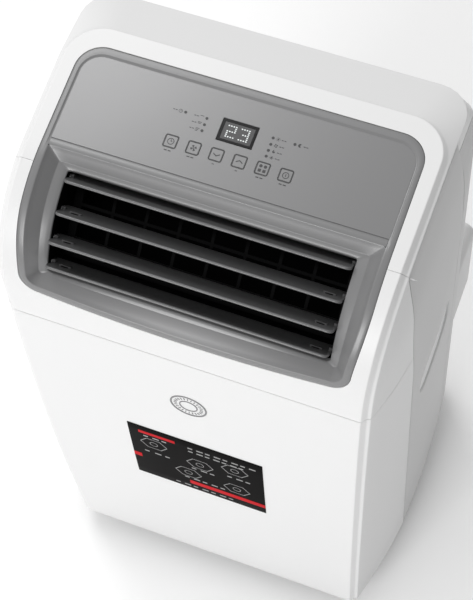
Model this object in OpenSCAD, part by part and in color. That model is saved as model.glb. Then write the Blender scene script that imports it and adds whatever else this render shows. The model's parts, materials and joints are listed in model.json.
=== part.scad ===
// Portable air conditioner: a floor-standing cabinet on four casters.
// X is to the viewer's right, Z is up from the floor.
// Y is measured back from the foot of the front panel; place() then centres the depth.

/* [Cabinet] */
// Greatest width of the cabinet, across the bowed sides
unit_w = 395; // [390:1:400]
// Depth from the foot of the front panel to the mouth of the exhaust adaptor
unit_d = 345; // [342:1:350]
// Height of the panels' lower edge above the floor
skirt_z = 32; // [31:1:34]
// Height of the deck's rear edge above the panels' lower edge
body_h = 669; // [668:1:671]
// Thickness of the moulded panels
wall = 2.8; // [2.4:0.1:3.2]
// Gap at the seams between two panels
seam = 0.6; // [0.4:0.1:0.8]
// Radius of the shoulder between the front panel and the deck
shoulder_r = 116; // [114:1:118]
// Radius of the bow of each side, seen from above
flank_r = 1000; // [960:20:1040]
// Radius of the rear corners, seen from above
rear_r = 32; // [30:1:36]

/* [Air outlet] */
// Width of the outlet bezel
bezel_w = 325; // [323:1:326]
// Width of the opening that the blades swing in
mouth_w = 269; // [268:1:270]
// Length of a blade's chord
blade_chord = 30; // [28:1:31]
// Slope of the blades at rest, falling into the cabinet
blade_slope = 48; // [46:1:50]

/* [Controls] */
// Side of a key
key_w = 12; // [11:0.5:13]
// Distance from key to key
key_pitch = 21.3; // [20:0.1:22]
// Press travel of a key
key_travel = 0.8; // [0.5:0.1:1]

/* [Rear and base] */
// Bore radius of the exhaust adaptor
exhaust_r = 65; // [63:0.5:66]
// Side of the square exhaust adaptor
exhaust_w = 150; // [146:1:152]
// Radius of a caster wheel
wheel_r = 12.5; // [12:0.5:13]

/* [Hidden] */
$fn = 96;

body_top = skirt_z + body_h;
rear_y = unit_d - 33;
deck_back_y = 265.5;
deck_slope = 5.4;
bevel_slope = 18.2;
seam_low_z = skirt_z + 521.8;
seam_side_y = 111;
seam_deck_y = 127;
seam_rear_y = 257;
deck_w = 353;
draw_z = 609;
draw_w = unit_w / 2 - 5.7;
draw_soft = 12;
run = 0.05;

// Deck height at a distance y from the front
function deck_z(y) = body_top - (deck_back_y - y) * tan(deck_slope);

// The front panel is bowed by one very large arc through its foot and the low seam
foot = [0, skirt_z];
seam_point = [35.4, seam_low_z];
bow_sag = 6.4;
chord = seam_point - foot;
chord_len = norm(chord);
bow_r = (pow(chord_len / 2, 2) + bow_sag * bow_sag) / (2 * bow_sag);
bow_c = (foot + seam_point) / 2 + (bow_r - bow_sag) * [chord[1], -chord[0]] / chord_len;
lean = atan(chord[0] / chord[1]);

// The shoulder arc touches the bow and the deck
shoulder_y0 = 154.4;
shoulder_z = deck_z(shoulder_y0) - shoulder_r / cos(deck_slope);
shoulder_y = bow_c[0] - sqrt(pow(bow_r - shoulder_r, 2) - pow(shoulder_z - bow_c[1], 2));
shoulder = [shoulder_y, shoulder_z];
touch_dir = (shoulder - bow_c) / norm(shoulder - bow_c);

// Plan: flank arcs with smaller arcs at the front and rear corners
flank_y = 172;
flank_x = unit_w / 2 - flank_r;
front_r = 120;
front_cy = 66.7;
front_cx = flank_x + sqrt(pow(flank_r - front_r, 2) - pow(flank_y - front_cy, 2));
front_touch_y = flank_y - (flank_y - front_cy) * flank_r / (flank_r - front_r);
rear_cy = rear_y - rear_r;
rear_cx = flank_x + sqrt(pow(flank_r - rear_r, 2) - pow(rear_cy - flank_y, 2));
rear_touch_y = flank_y + (rear_cy - flank_y) * flank_r / (flank_r - rear_r);

// Blade pivots follow the shoulder: front edges of the four blades, top one first
blade_front = [[119.7, 646.6], [94, 631.9], [71.2, 618.3], [56.5, 597.6]];
pivot_back = 20;
blade_dir = [cos(blade_slope), -sin(blade_slope)];
function blade_edge(i) = blade_front[i] + [0, skirt_z];
function blade_pivot(i) = blade_edge(i) + pivot_back * blade_dir;
crank_len = 10;
function crank_pin(i) = blade_pivot(i) + crank_len * blade_dir;

key_y = 179.5;
display_y = 203.9;
lamp_pitch = 6.2;
caster_x = 148;
caster_y = [56, 262];
caster_trail = 9;
exhaust_x = 116;
exhaust_z = skirt_z + 277;
lower_fan = [95, 168];
upper_fan_z = skirt_z + 470;

// Positions across the front, sides and back
handle_y = 184;
handle_z = skirt_z + 382;
handle_w = 96;
handle_h = 54;
handle_floor = 166;
upper_intake = [0, skirt_z + 522, 296, 210];
lower_intake = [0, skirt_z + 110, 300, 168];
cord_spot = [-150, skirt_z + 290];
drain_upper = [-165, skirt_z + 385];
drain_lower = [0, skirt_z + 11];
drain_r = 7;
mouth_slope = 38.4;
mouth_foot = [54.7, skirt_z + 595.9];

// Edges of the sunk air outlet in (y, z): ledge and sill below, lintel above
ledge_out = [45.3, skirt_z + 569];
sill = [61, skirt_z + 579.5];
lintel = [138, skirt_z + 646];
lintel_out = [146, skirt_z + 659.2];
recess_d = 12;
recess_w = bezel_w - 11.6;
floor_w = mouth_w + 19;

panel_y = [153.4, 238.2];
panel_w = 311;
link_x = -(mouth_w - 3) / 2 - 11.5;
duct_w = mouth_w - 0.6;
duct_back_y = 250;
duct_low_z = upper_fan_z + 88;
tray_inset = 38;
tray_front = 46;
badge_z = skirt_z + 438;
label_z = skirt_z + 288;

module place() {
    translate([0, -unit_d / 2, 0]) children();
}

// Turns a drawing in (y, z) into a solid w wide, centred on X
module across(w) {
    translate([-w / 2, 0, 0]) rotate([90, 0, 90]) linear_extrude(w) children();
}

// Turns a drawing in (x, z) into a solid from y0 to y1
module through(y0, y1) {
    translate([0, y1, 0]) rotate([90, 0, 0]) linear_extrude(y1 - y0) children();
}

module block(x0, x1, y0, y1, z0, z1) {
    translate([x0, y0, z0]) cube([x1 - x0, y1 - y0, z1 - z0]);
}

// Rounded rectangle from circles and squares, so that its corners stay true arcs
module round_rect(w, h, r) {
    square([w - 2 * r, h], center = true);
    square([w, h - 2 * r], center = true);
    for (sx = [-1, 1], sy = [-1, 1]) {
        translate([sx * (w / 2 - r), sy * (h / 2 - r)]) circle(r);
    }
}

// Plan outline, drawn in by i
// The corner arcs stand proud by a hair and lap over the flanks, so that the arcs cross cleanly
module plan(i) {
    proud = 0.03;
    lap = 5;
    intersection() {
        translate([flank_x, flank_y]) circle(flank_r - i, $fn = 360);
        translate([-flank_x, flank_y]) circle(flank_r - i, $fn = 360);
        translate([-300, front_touch_y]) square([600, rear_touch_y - front_touch_y]);
    }
    intersection() {
        union() {
            for (s = [-1, 1]) {
                translate([s * front_cx, front_cy]) circle(front_r - i + proud, $fn = 180);
            }
            translate([-front_cx, i]) square([2 * front_cx, front_cy]);
        }
        translate([-300, -50]) square([600, front_touch_y + 50 + lap]);
    }
    intersection() {
        union() {
            for (s = [-1, 1]) {
                translate([s * rear_cx, rear_cy]) circle(rear_r - i + proud);
            }
            translate([-rear_cx, rear_touch_y - 20]) square([2 * rear_cx, rear_y - i - rear_touch_y + 20]);
        }
        translate([-300, rear_touch_y - lap]) square([600, rear_y - i - rear_touch_y + lap]);
    }
}

// The cabinet seen from the side, drawn in by i, as a solid w wide
// The shoulder arc stands proud by a hair, so that it crosses the bow and the deck cleanly
module side_solid(w, i) {
    proud = 0.05;
    touch_z = bow_c[1] + (bow_r - i) * touch_dir[1];
    touch_deck = shoulder + (shoulder_r - i) * [-sin(deck_slope), cos(deck_slope)];
    rear_top = body_top - (rear_y - deck_back_y) * tan(bevel_slope);
    bottom = i > 0 ? skirt_z - 5 : skirt_z;
    intersection() {
        union() {
            across(w) polygon([
                [-20, bottom], [-20, touch_z], [shoulder[0], touch_z], touch_deck,
                [deck_back_y - 0.11 * i, body_top - 1.02 * i],
                [rear_y - i, rear_top - 0.72 * i], [rear_y - i, bottom]
            ]);
            across(w) translate(shoulder) circle(shoulder_r - i + proud, $fn = 180);
        }
        across(w) translate(bow_c) circle(bow_r - i, $fn = 720);
    }
}

// Half width of the cabinet at a height z over the panels' lower edge: it turns in under the rim
function draw_in(z) = draw_w + 0.032 * (draw_z - z)
    - 0.18 * draw_soft * ln(1 + exp((z - draw_z) / draw_soft));

// Front outline, drawn in by i
module front_outline(i) {
    heights = concat([-10, 400, 520], [for (z = [560:14:686]) z], [body_h + 30]);
    right = [for (z = heights) [draw_in(z) - i, z + skirt_z]];
    left = [for (k = [len(heights) - 1:-1:0]) [-right[k][0], right[k][1]]];
    polygon(concat(right, left));
}

module cabinet_box(i) {
    intersection() {
        side_solid(420, i);
        through(-30, 400) front_outline(i);
        children();
    }
}

// Front part of the cabinet: the plan leans back with the front panel
module front_body(i) {
    cabinet_box(i) {
        translate([0, 0, skirt_z]) rotate([-lean, 0, 0]) translate([0, 0, -60]) linear_extrude(780) plan(i);
    }
}

module rear_body(i) {
    cabinet_box(i) linear_extrude(760) plan(i);
}

module front_shell() {
    difference() {
        front_body(0);
        front_body(wall);
    }
}

module rear_shell() {
    difference() {
        rear_body(0);
        rear_body(wall);
    }
}

// Region that the outlet bezel takes out of the front frame and the top cover
module bezel_region(i) {
    half_w = bezel_w / 2 - i;
    top_y = 248.4 - i;
    low_z = skirt_z + 565 + i;
    corner = 25 - i;
    intersection() {
        translate([0, 0, 500]) linear_extrude(300) {
            translate([-half_w, -10]) square([2 * half_w, top_y + 10 - corner]);
            translate([-half_w + corner, top_y - corner - 1]) square([2 * (half_w - corner), corner + 1]);
            for (s = [-1, 1]) {
                translate([s * (half_w - corner), top_y - corner]) circle(corner);
            }
        }
        through(-10, 300) {
            translate([-half_w, low_z + 32]) square([2 * half_w, 200]);
            translate([-half_w + 32, low_z]) square([2 * (half_w - 32), 60]);
            for (s = [-1, 1]) {
                translate([s * (half_w - 32), low_z + 32]) circle(32);
            }
        }
    }
}

module base_pan() {
    color("dimgray") place() {
        difference() {
            intersection() {
                translate([0, 0, skirt_z + 0.5]) linear_extrude(26) plan(wall + 9);
                block(-300, 300, 12, 400, 0, 200);
            }
            intersection() {
                translate([0, 0, skirt_z + 4.5]) linear_extrude(30) plan(wall + 12);
                block(-300, 300, 15, 306, 0, 200);
            }
            caster_sites() translate([0, 0, skirt_z - 5]) cylinder(r = 8.9, h = 20);
        }
        caster_sites() {
            difference() {
                translate([0, 0, skirt_z + 0.5]) cylinder(r = 9, h = 20);
                translate([0, 0, skirt_z - 1]) cylinder(r = 4 + run, h = 40);
            }
        }
    }
}

module caster_sites() {
    for (y = caster_y, s = [-1, 1]) {
        translate([s * caster_x, y, 0]) children();
    }
}

// Bowed front panel below the seam
module lower_front_panel() {
    color("white") place() intersection() {
        front_shell();
        block(-300, 300, -20, seam_side_y - seam / 2, skirt_z, seam_low_z - seam / 2);
    }
}

module upper_front_frame() {
    color("white") place() difference() {
        intersection() {
            front_shell();
            union() {
                block(-300, 300, 0, seam_side_y - seam / 2, seam_low_z + seam / 2, 760);
                block(-deck_w / 2 + seam, deck_w / 2 - seam, 80, seam_deck_y - seam / 2, seam_low_z + 80, 760);
            }
        }
        bezel_region(-0.3);
    }
}

module top_cover() {
    color("white") place() difference() {
        intersection() {
            rear_shell();
            union() {
                block(-deck_w / 2 + seam, deck_w / 2 - seam, seam_deck_y + seam / 2, seam_rear_y + 1, skirt_z + 620, 760);
                block(-300, 300, seam_rear_y + seam / 2, 330, skirt_z + 643, 760);
            }
        }
        bezel_region(-0.3);
    }
}

// A hand hold sunk into the side: a stadium-ended pocket
module handle_block(i, x0, x1) {
    translate([x0, handle_y, handle_z]) rotate([90, 0, 90]) linear_extrude(x1 - x0) {
        round_rect(handle_w - 2 * i, handle_h - 2 * i, 18 - i);
    }
}

module side_panel() {
    difference() {
        union() {
            intersection() {
                rear_shell();
                block(120, 300, seam_side_y + seam / 2, seam_rear_y - seam / 2, skirt_z, 760);
            }
            intersection() {
                handle_block(-2.4, handle_floor - 2.4, 200);
                rear_body(wall - 0.5);
            }
        }
        handle_block(0, handle_floor, 210);
        block(-300, deck_w / 2, 0, 400, skirt_z + 620, 760);
    }
}

module right_side_panel() {
    color("gainsboro") place() side_panel();
}

module left_side_panel() {
    color("gainsboro") place() mirror([1, 0, 0]) side_panel();
}

module back_panel() {
    color("gainsboro") place() {
        difference() {
            intersection() {
                rear_shell();
                block(-300, 300, seam_rear_y + seam / 2, 330, skirt_z, skirt_z + 643 - seam);
            }
            through(290, 330) {
                translate([upper_intake[0], upper_intake[1]]) round_rect(upper_intake[2], upper_intake[3], 8);
                translate([lower_intake[0], lower_intake[1]]) round_rect(lower_intake[2], lower_intake[3], 8);
                translate([exhaust_x, exhaust_z]) circle(exhaust_r + 4);
                translate(cord_spot) circle(8.1);
                translate(drain_upper) circle(drain_r + 3);
                translate(drain_lower) circle(drain_r + 3);
            }
        }
        // Spigots that the drain caps close
        for (p = [drain_upper, drain_lower]) {
            translate([p[0], rear_y - wall, p[1]]) rotate([90, 0, 0]) difference() {
                union() {
                    translate([0, 0, -wall]) cylinder(r = drain_r + 3.2, h = wall);
                    cylinder(r = drain_r + 1.5, h = 9);
                }
                translate([0, 0, -4]) cylinder(r = drain_r - 2 + run, h = 20);
            }
        }
    }
}

module drain_cap(p) {
    color("dimgray") place() translate([p[0], rear_y, p[1]]) rotate([90, 0, 0]) {
        cylinder(r = drain_r - 2, h = 9);
        translate([0, 0, -4]) difference() {
            cylinder(r = drain_r + 2, h = 4);
            for (a = [0:45:315]) {
                rotate([0, 0, a]) translate([drain_r + 2.6, 0, -1]) cylinder(r = 1.6, h = 6);
            }
        }
    }
}

module drain_cap_upper() {
    drain_cap(drain_upper);
}

module drain_cap_lower() {
    drain_cap(drain_lower);
}

// Point on the louvre chord: t up the slope, n into the cabinet
function mouth(t, n) = mouth_foot + t * [cos(mouth_slope), sin(mouth_slope)]
    + n * [sin(mouth_slope), -cos(mouth_slope)];

// Moves point p outwards by a factor along the line from a to p
function beyond(a, p, k) = a + k * (p - a);

// The sunk outlet: sloping walls, cut as two crossed wedges, with a floor that follows the face
module outlet_recess(i) {
    shift = i * [0.5, -0.85];
    intersection() {
        across(bezel_w - 4) polygon([
            beyond(sill, ledge_out, 2.2) + shift, sill + shift, sill + [70, 0] + shift,
            lintel + [30, 0] - [0, 8] , lintel + i * [1, 0.3], beyond(lintel, lintel_out, 2) + i * [1, 0.3]
        ]);
        mouth_prism(-80, 140) polygon([
            [-recess_w / 2 - i, -40], [recess_w / 2 + i, -40],
            [recess_w / 2 + i, -8], [floor_w / 2 + i, 10], [floor_w / 2 + i, 40],
            [-floor_w / 2 - i, 40], [-floor_w / 2 - i, 10], [-recess_w / 2 - i, -8]
        ]);
        difference() {
            front_wide(-30);
            front_wide(recess_d + i);
        }
    }
}

// Extrudes a drawing in (x, n) along the slope of the louvre, from t0 to t1
module mouth_prism(t0, t1) {
    translate([0, mouth_foot[0], mouth_foot[1]]) rotate([mouth_slope - 90, 0, 0]) {
        translate([0, 0, t0]) linear_extrude(t1 - t0) children();
    }
}

module mouth_cut(w) {
    across(w) polygon([
        sill - 40 * blade_dir, lintel - 40 * blade_dir,
        lintel + 50 * blade_dir, sill + 50 * blade_dir
    ]);
}

module bezel_solid(i, d0, d1) {
    intersection() {
        bezel_region(i);
        difference() {
            front_wide(d0);
            front_wide(d1);
        }
    }
}

// The face of the cabinet without its sides
module front_wide(i) {
    side_solid(400, i);
}

module panel_region(i) {
    r = 20 - i;
    y0 = panel_y[0] + i;
    y1 = panel_y[1] - i;
    w = panel_w - 2 * i;
    translate([0, 0, 600]) linear_extrude(200) {
        translate([-w / 2, y0]) square([w, y1 - y0 - r]);
        translate([-w / 2 + r, y1 - r - 1]) square([w - 2 * r, r + 1]);
        for (s = [-1, 1]) {
            translate([s * (w / 2 - r), y1 - r]) circle(r);
        }
    }
}

module outlet_bezel() {
    color("gray") place() difference() {
        bezel_solid(0, 0, 17);
        difference() {
            bezel_solid(2.5, 2.8, 26);
            outlet_recess(2.4);
            intersection() {
                panel_region(-3);
                front_wide(0);
                block(-170, 170, 100, 300, body_top - 26, 760);
                difference() {
                    front_wide(0);
                    front_wide(5.4);
                }
            }
        }
        outlet_recess(0);
        mouth_cut(mouth_w);
        intersection() {
            panel_region(-0.3);
            difference() {
                front_wide(-5);
                front_wide(3);
            }
        }
        panel_region(12);
    }
}

// Moves a drawing onto the deck at distance y, sunk by d
module on_deck(y, d) {
    translate([0, y, deck_z(y)]) rotate([deck_slope, 0, 0]) translate([0, 0, -d]) children();
}

function key_x(k) = (k - 2.5) * key_pitch;

module control_panel() {
    color("darkgray") place() difference() {
        intersection() {
            panel_region(0);
            difference() {
                front_wide(0.6);
                front_wide(2.9);
            }
        }
        for (k = [0:5]) {
            on_deck(key_y, 10) translate([key_x(k), 0, 0]) linear_extrude(20) {
                round_rect(key_w + 0.5, key_w + 0.5, 1.8);
            }
        }
        on_deck(display_y, 10) linear_extrude(20) square([33.5, 21.9], center = true);
        lamp_sites() translate([0, 0, -5]) cylinder(r = 1.25, h = 20, $fn = 32);
    }
}

module lamp_sites() {
    for (row = [0:3]) {
        on_deck(display_y + 7.2 - row * lamp_pitch, 2.9) {
            translate([31, 0, 0]) children();
            if (row < 3) {
                translate([-30.7, 0, 0]) children();
            }
            if (row == 0) {
                translate([-50.7, 0, 0]) children();
                translate([51, 0, 0]) children();
            }
        }
    }
}

module display_window() {
    color("black") place() on_deck(display_y, 2.6) translate([0, 0, 1]) {
        cube([33.3, 21.7, 2.2], center = true);
    }
}

module indicator_lamps() {
    color("black") place() lamp_sites() cylinder(r = 1.2, h = 2.3, $fn = 32);
}

// A key: its cap lies in the panel and its stem stands over a switch on the board
module key_cap(k) {
    color("darkgray") place() on_deck(key_y, 0) translate([key_x(k), 0, 0]) {
        translate([0, 0, -2.6]) linear_extrude(2.1) round_rect(key_w, key_w, 1.6);
        translate([0, 0, -8]) cylinder(r = 2, h = 5.5);
    }
}

module key_timer() {
    key_cap(0);
}

module key_fan() {
    key_cap(1);
}

module key_down() {
    key_cap(2);
}

module key_up() {
    key_cap(3);
}

module key_mode() {
    key_cap(4);
}

module key_power() {
    key_cap(5);
}

module control_board() {
    color("darkgreen") place() on_deck(195, 14) {
        translate([-85, -30, 0]) cube([170, 60, 1.6]);
        for (k = [0:5]) {
            translate([key_x(k) - 3, key_y - 195 - 3, 1.6]) cube([6, 6, 3.4 - key_travel / 2]);
        }
        translate([-15, 3, 1.6]) cube([30, 18, 8]);
    }
}

// A louvre blade with end pivots; the crank on its left end takes the link bar
module louvre_blade(i) {
    p = blade_pivot(i);
    w = mouth_w - 3;
    color("gray") place() translate([0, p[0], p[1]]) rotate([-blade_slope, 0, 0]) {
        translate([-w / 2, -pivot_back + 1.3, -1.1]) cube([w, blade_chord - 1.3, 2.2]);
        translate([-w / 2, -pivot_back + 1.3, 0]) rotate([0, 90, 0]) cylinder(r = 1.3, h = w, $fn = 32);
        translate([-w / 2 - 9, 0, 0]) rotate([0, 90, 0]) cylinder(r = 2, h = w + 17, $fn = 48);
        translate([-w / 2 - 9, 0, -2.5]) cube([2, crank_len, 5]);
        translate([-w / 2 - 9, crank_len, 0]) rotate([0, 90, 0]) cylinder(r = 2.5, h = 2, $fn = 48);
        translate([-w / 2 - 13, crank_len, 0]) rotate([0, 90, 0]) cylinder(r = 1.5, h = 5, $fn = 48);
    }
}

module louvre_blade_1() {
    louvre_blade(0);
}

module louvre_blade_2() {
    louvre_blade(1);
}

module louvre_blade_3() {
    louvre_blade(2);
}

module louvre_blade_4() {
    louvre_blade(3);
}

// The bar that ties the four cranks together
module louvre_link() {
    color("dimgray") place() difference() {
        union() {
            for (i = [0:3]) {
                translate([link_x - 0.8, crank_pin(i)[0], crank_pin(i)[1]]) rotate([0, 90, 0]) {
                    cylinder(r = 4, h = 1.6, $fn = 48);
                }
            }
            for (i = [0:2]) {
                link_bar(crank_pin(i), crank_pin(i + 1));
            }
        }
        for (i = [0:3]) {
            translate([link_x - 3, crank_pin(i)[0], crank_pin(i)[1]]) rotate([0, 90, 0]) {
                cylinder(r = 1.5 + run, h = 6, $fn = 48);
            }
        }
    }
}

module link_bar(a, b) {
    d = b - a;
    translate([link_x - 0.8, a[0], a[1]]) rotate([atan2(d[1], d[0]), 0, 0]) {
        translate([0, 0, -2.5]) cube([1.6, norm(d), 5]);
    }
}

module louvre_motor() {
    p = blade_pivot(1);
    color("silver") place() translate([(mouth_w - 3) / 2 + 7, p[0], p[1]]) rotate([0, 90, 0]) {
        difference() {
            cylinder(r = 10, h = 15);
            translate([0, 0, -1]) cylinder(r = 2 + run, h = 4);
        }
    }
}

// Black duct from the blades down to the upper scroll; its sides carry the blade pivots
module outlet_duct() {
    color("black") place() difference() {
        intersection() {
            across(duct_w + 6) duct_outline(3);
            front_wide(recess_d + 2.7);
        }
        across(duct_w) duct_outline(0);
        block(-82, 82, 192.4, 247.6, duct_low_z - 10, duct_low_z + 10);
        for (i = [0:3]) {
            translate([-200, blade_pivot(i)[0], blade_pivot(i)[1]]) rotate([0, 90, 0]) {
                cylinder(r = 2 + run, h = 400, $fn = 48);
            }
        }
    }
}

module duct_outline(i) {
    polygon([
        mouth(-9 - i, -10), mouth(-9 - i, 30), [95, duct_low_z - i],
        [duct_back_y + i, duct_low_z - i], [duct_back_y + i, skirt_z + 612 + i],
        [168, skirt_z + 630 + i], mouth(100 + i, 25), mouth(100 + i, -10)
    ]);
}

// Safety grille across the duct, behind the blades
module outlet_grille() {
    cell = 16;
    color("black") place() difference() {
        across(duct_w - 0.4) polygon([mouth(5, 45), mouth(92, 45), mouth(92, 47), mouth(5, 47)]);
        for (c = [0:7], r = [0:4]) {
            p = mouth(15 + r * cell, 46);
            translate([(c - 3.5) * 32, p[0], p[1]]) rotate([mouth_slope, 0, 0]) {
                cube([29, cell - 3, 30], center = true);
            }
        }
    }
}

// Centrifugal blower on the Y axis, open at its rear face
module blower(r, w) {
    blades = 28;
    rotate([90, 0, 0]) {
        difference() {
            union() {
                cylinder(r = r, h = 2);
                cylinder(r = 10, h = w * 0.5);
            }
            translate([0, 0, -1]) cylinder(r = 4 + run, h = w);
        }
        translate([0, 0, w - 2]) difference() {
            cylinder(r = r, h = 2);
            translate([0, 0, -1]) cylinder(r = r - 14, h = 4);
        }
        for (k = [0:blades - 1]) {
            rotate([0, 0, k * 360 / blades]) translate([r - 12.5, -0.6, 1.5]) cube([11.8, 1.2, w - 3]);
        }
    }
}

module upper_blower() {
    color("black") place() translate([0, 196, upper_fan_z]) mirror([0, 1, 0]) blower(70, 44);
}

module lower_blower() {
    color("black") place() translate([lower_fan[0], 196, lower_fan[1]]) mirror([0, 1, 0]) blower(68, 44);
}

// Scroll: a round housing with a straight duct; the inlet eye is in its rear face
module scroll(r, w, duct) {
    difference() {
        union() {
            rotate([90, 0, 0]) translate([0, 0, -w]) cylinder(r = r + 2.4, h = w);
            block(duct[0] - 2.4, duct[1] + 2.4, 0, w, duct[2], duct[3]);
        }
        rotate([90, 0, 0]) translate([0, 0, -w + 2.4]) cylinder(r = r, h = w - 4.8);
        block(duct[0], duct[1], 2.4, w - 2.4, duct[2] - 1, duct[3] + 1);
        rotate([90, 0, 0]) translate([0, 0, -w - 1]) cylinder(r = r - 26, h = 10);
        rotate([90, 0, 0]) translate([0, 0, -5]) cylinder(r = 11, h = 10);
    }
}

module upper_scroll() {
    color("dimgray") place() translate([0, 190, upper_fan_z]) scroll(82, 60, [-82, 82, 0, 84]);
}

module lower_scroll() {
    color("dimgray") place() {
        translate([lower_fan[0], 190, lower_fan[1]]) {
            difference() {
                union() {
                    scroll(80, 60, [-46, 80, 0, 204]);
                    block(-48.4, 82.4, 60, 98, 82, 206.4);
                    block(-48.4, 82.4, 0, 60, 204, 206.4);
                }
                block(-46, 80, 50, 120, 84, 204);
            }
        }
    }
}

module fan_motor(x, z, r) {
    translate([x, 0, z]) rotate([90, 0, 0]) {
        translate([0, 0, -184]) cylinder(r = r, h = 52);
        translate([0, 0, -189.5]) cylinder(r = r * 0.62, h = 6);
        translate([0, 0, -221]) cylinder(r = 4, h = 34);
    }
}

module upper_motor() {
    color("silver") place() fan_motor(0, upper_fan_z, 34);
}

module lower_motor() {
    color("silver") place() fan_motor(lower_fan[0], lower_fan[1], 36);
}

// Finned heat exchanger with end plates and return bends
module coil_block(w, d, h) {
    block(-w / 2 + 12, w / 2 - 12, 0, d, 0, h);
    for (s = [-1, 1]) {
        translate([s * (w / 2 - 11), 0, 0]) translate([-1, -2, 0]) cube([2, d + 4, h]);
    }
    bends = floor(h / 50);
    for (s = [-1, 1], k = [0:bends - 1]) {
        translate([s * (w / 2 - 10), d / 2, 25 + k * 50]) rotate([0, s * 90, 0]) rotate([90, 0, 0]) {
            rotate_extrude(angle = 180, $fn = 32) translate([10, 0]) circle(3.5, $fn = 24);
        }
    }
}

module evaporator() {
    color("silver") place() translate([0, 262, skirt_z + 396]) coil_block(320, 30, 236);
}

module condenser() {
    color("silver") place() translate([0, 262, skirt_z + 30]) coil_block(320, 30, 160);
}

module drip_tray() {
    color("dimgray") place() difference() {
        intersection() {
            translate([0, 0, skirt_z + 366]) linear_extrude(22) plan(tray_inset);
            block(-300, 300, tray_front, 400, 0, 760);
        }
        intersection() {
            translate([0, 0, skirt_z + 369]) linear_extrude(22) plan(tray_inset + 3);
            block(-300, 300, tray_front + 3, 400, 0, 760);
        }
    }
}

module compressor() {
    color("dimgray") place() translate([-95, 140, skirt_z + 18]) {
        cylinder(r = 58, h = 130);
        intersection() {
            translate([0, 0, 90]) sphere(r = 70);
            translate([0, 0, 120]) cylinder(r = 58, h = 60);
        }
        difference() {
            cylinder(r = 66, h = 3);
            for (a = [0:120:240]) {
                rotate([0, 0, a]) translate([61.5, 0, -1]) cylinder(r = 3, h = 6, $fn = 32);
            }
        }
        translate([-74, 0, 40]) cylinder(r = 14, h = 90);
        translate([-62, -4, 60]) cube([8, 8, 20]);
    }
}

module compressor_feet() {
    color("black") place() translate([-95, 140, skirt_z + 4.5]) {
        for (a = [0:120:240]) {
            rotate([0, 0, a]) translate([61.5, 0, 0]) {
                cylinder(r = 4.5, h = 13.5, $fn = 48);
                cylinder(r = 2.8, h = 18, $fn = 48);
            }
        }
    }
}

module refrigerant_pipes() {
    color("peru") place() {
        translate([-120, 236, skirt_z + 196]) cylinder(r = 4, h = 160, $fn = 32);
        translate([-146, 236, skirt_z + 196]) cylinder(r = 5, h = 160, $fn = 32);
        for (p = [[-120, 4], [-146, 5]]) {
            translate([p[0], 236, skirt_z + 196]) rotate([0, 90, 0]) {
                translate([0, -20, 0]) rotate_extrude(angle = 90, $fn = 48) {
                    translate([20, 0]) circle(p[1], $fn = 24);
                }
            }
        }
    }
}

module electrical_box() {
    color("gray") place() difference() {
        block(-60, 20, 30, 78, skirt_z + 220, skirt_z + 340);
        block(-57.5, 17.5, 32.5, 90, skirt_z + 222.5, skirt_z + 337.5);
    }
}

module exhaust_adaptor() {
    color("gainsboro") place() difference() {
        through(rear_y - 26, unit_d) translate([exhaust_x, exhaust_z]) {
            round_rect(exhaust_w, exhaust_w - 10, 14);
        }
        rear_body(0);
        translate([exhaust_x, unit_d + 1, exhaust_z]) rotate([90, 0, 0]) cylinder(r = exhaust_r, h = 60);
        translate([exhaust_x, rear_y, exhaust_z]) rotate([90, 0, 0]) cylinder(r = exhaust_r + 4, h = 60);
    }
}

// Slatted grille that fills an intake opening in the back panel
module intake_grille(spot) {
    rows = round(spot[3] / 12) - 1;
    cell = (spot[2] - 30) / 2;
    through(rear_y - 5, rear_y) difference() {
        translate([spot[0], spot[1]]) round_rect(spot[2] - 0.8, spot[3] - 0.8, 7.6);
        for (r = [0:rows - 1], s = [-1, 1]) {
            translate([spot[0] + s * (cell / 2 + 2.5), spot[1] + (r - (rows - 1) / 2) * 12]) {
                square([cell, 7], center = true);
            }
        }
    }
}

module upper_intake_grille() {
    color("gainsboro") place() intake_grille(upper_intake);
}

module lower_intake_grille() {
    color("gainsboro") place() intake_grille(lower_intake);
}

module filter_mat(spot) {
    through(rear_y - 8, rear_y - 5) translate([spot[0], spot[1]]) {
        square([spot[2] - 12, spot[3] - 12], center = true);
    }
}

module upper_filter() {
    color("darkslategray") place() filter_mat(upper_intake);
}

module lower_filter() {
    color("darkslategray") place() filter_mat(lower_intake);
}

module cord_gland() {
    color("black") place() translate([cord_spot[0], rear_y, cord_spot[1]]) rotate([90, 0, 0]) difference() {
        union() {
            translate([0, 0, -3]) cylinder(r = 11, h = 3);
            cylinder(r = 8, h = 10);
        }
        translate([0, 0, -4]) cylinder(r = 3.6, h = 20);
    }
}

// Distance of the bowed front face from the front at height z
function face_y(z) = bow_c[0] - sqrt(bow_r * bow_r - pow(z - bow_c[1], 2));
// Lays a flat drawing on the front face around height z, t thick
module on_face(z, t) {
    tilt = asin((z - bow_c[1]) / bow_r);
    translate([0, face_y(z), z]) rotate([90 - tilt, 0, 0]) linear_extrude(t) children();
}

module front_badge() {
    color("silver") place() on_face(badge_z, 0.7) difference() {
        circle(19);
        circle(16.5);
    }
}

module front_label() {
    color("black") place() on_face(label_z, 0.8) round_rect(146, 129, 1.5);
}

module casing_screws() {
    color("silver") place() {
        for (z = [13, 385, 635], s = [-1, 1]) {
            translate([s * 120, rear_y, skirt_z + z]) rotate([90, 0, 0]) {
                translate([0, 0, -1.6]) screw_head();
            }
        }
    }
}

module screw_head() {
    difference() {
        cylinder(r = 3.6, h = 1.6, $fn = 48);
        translate([-2.4, -0.4, -0.5]) cube([4.8, 0.8, 1.2]);
        translate([-0.4, -2.4, -0.5]) cube([0.8, 4.8, 1.2]);
    }
}

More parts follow.
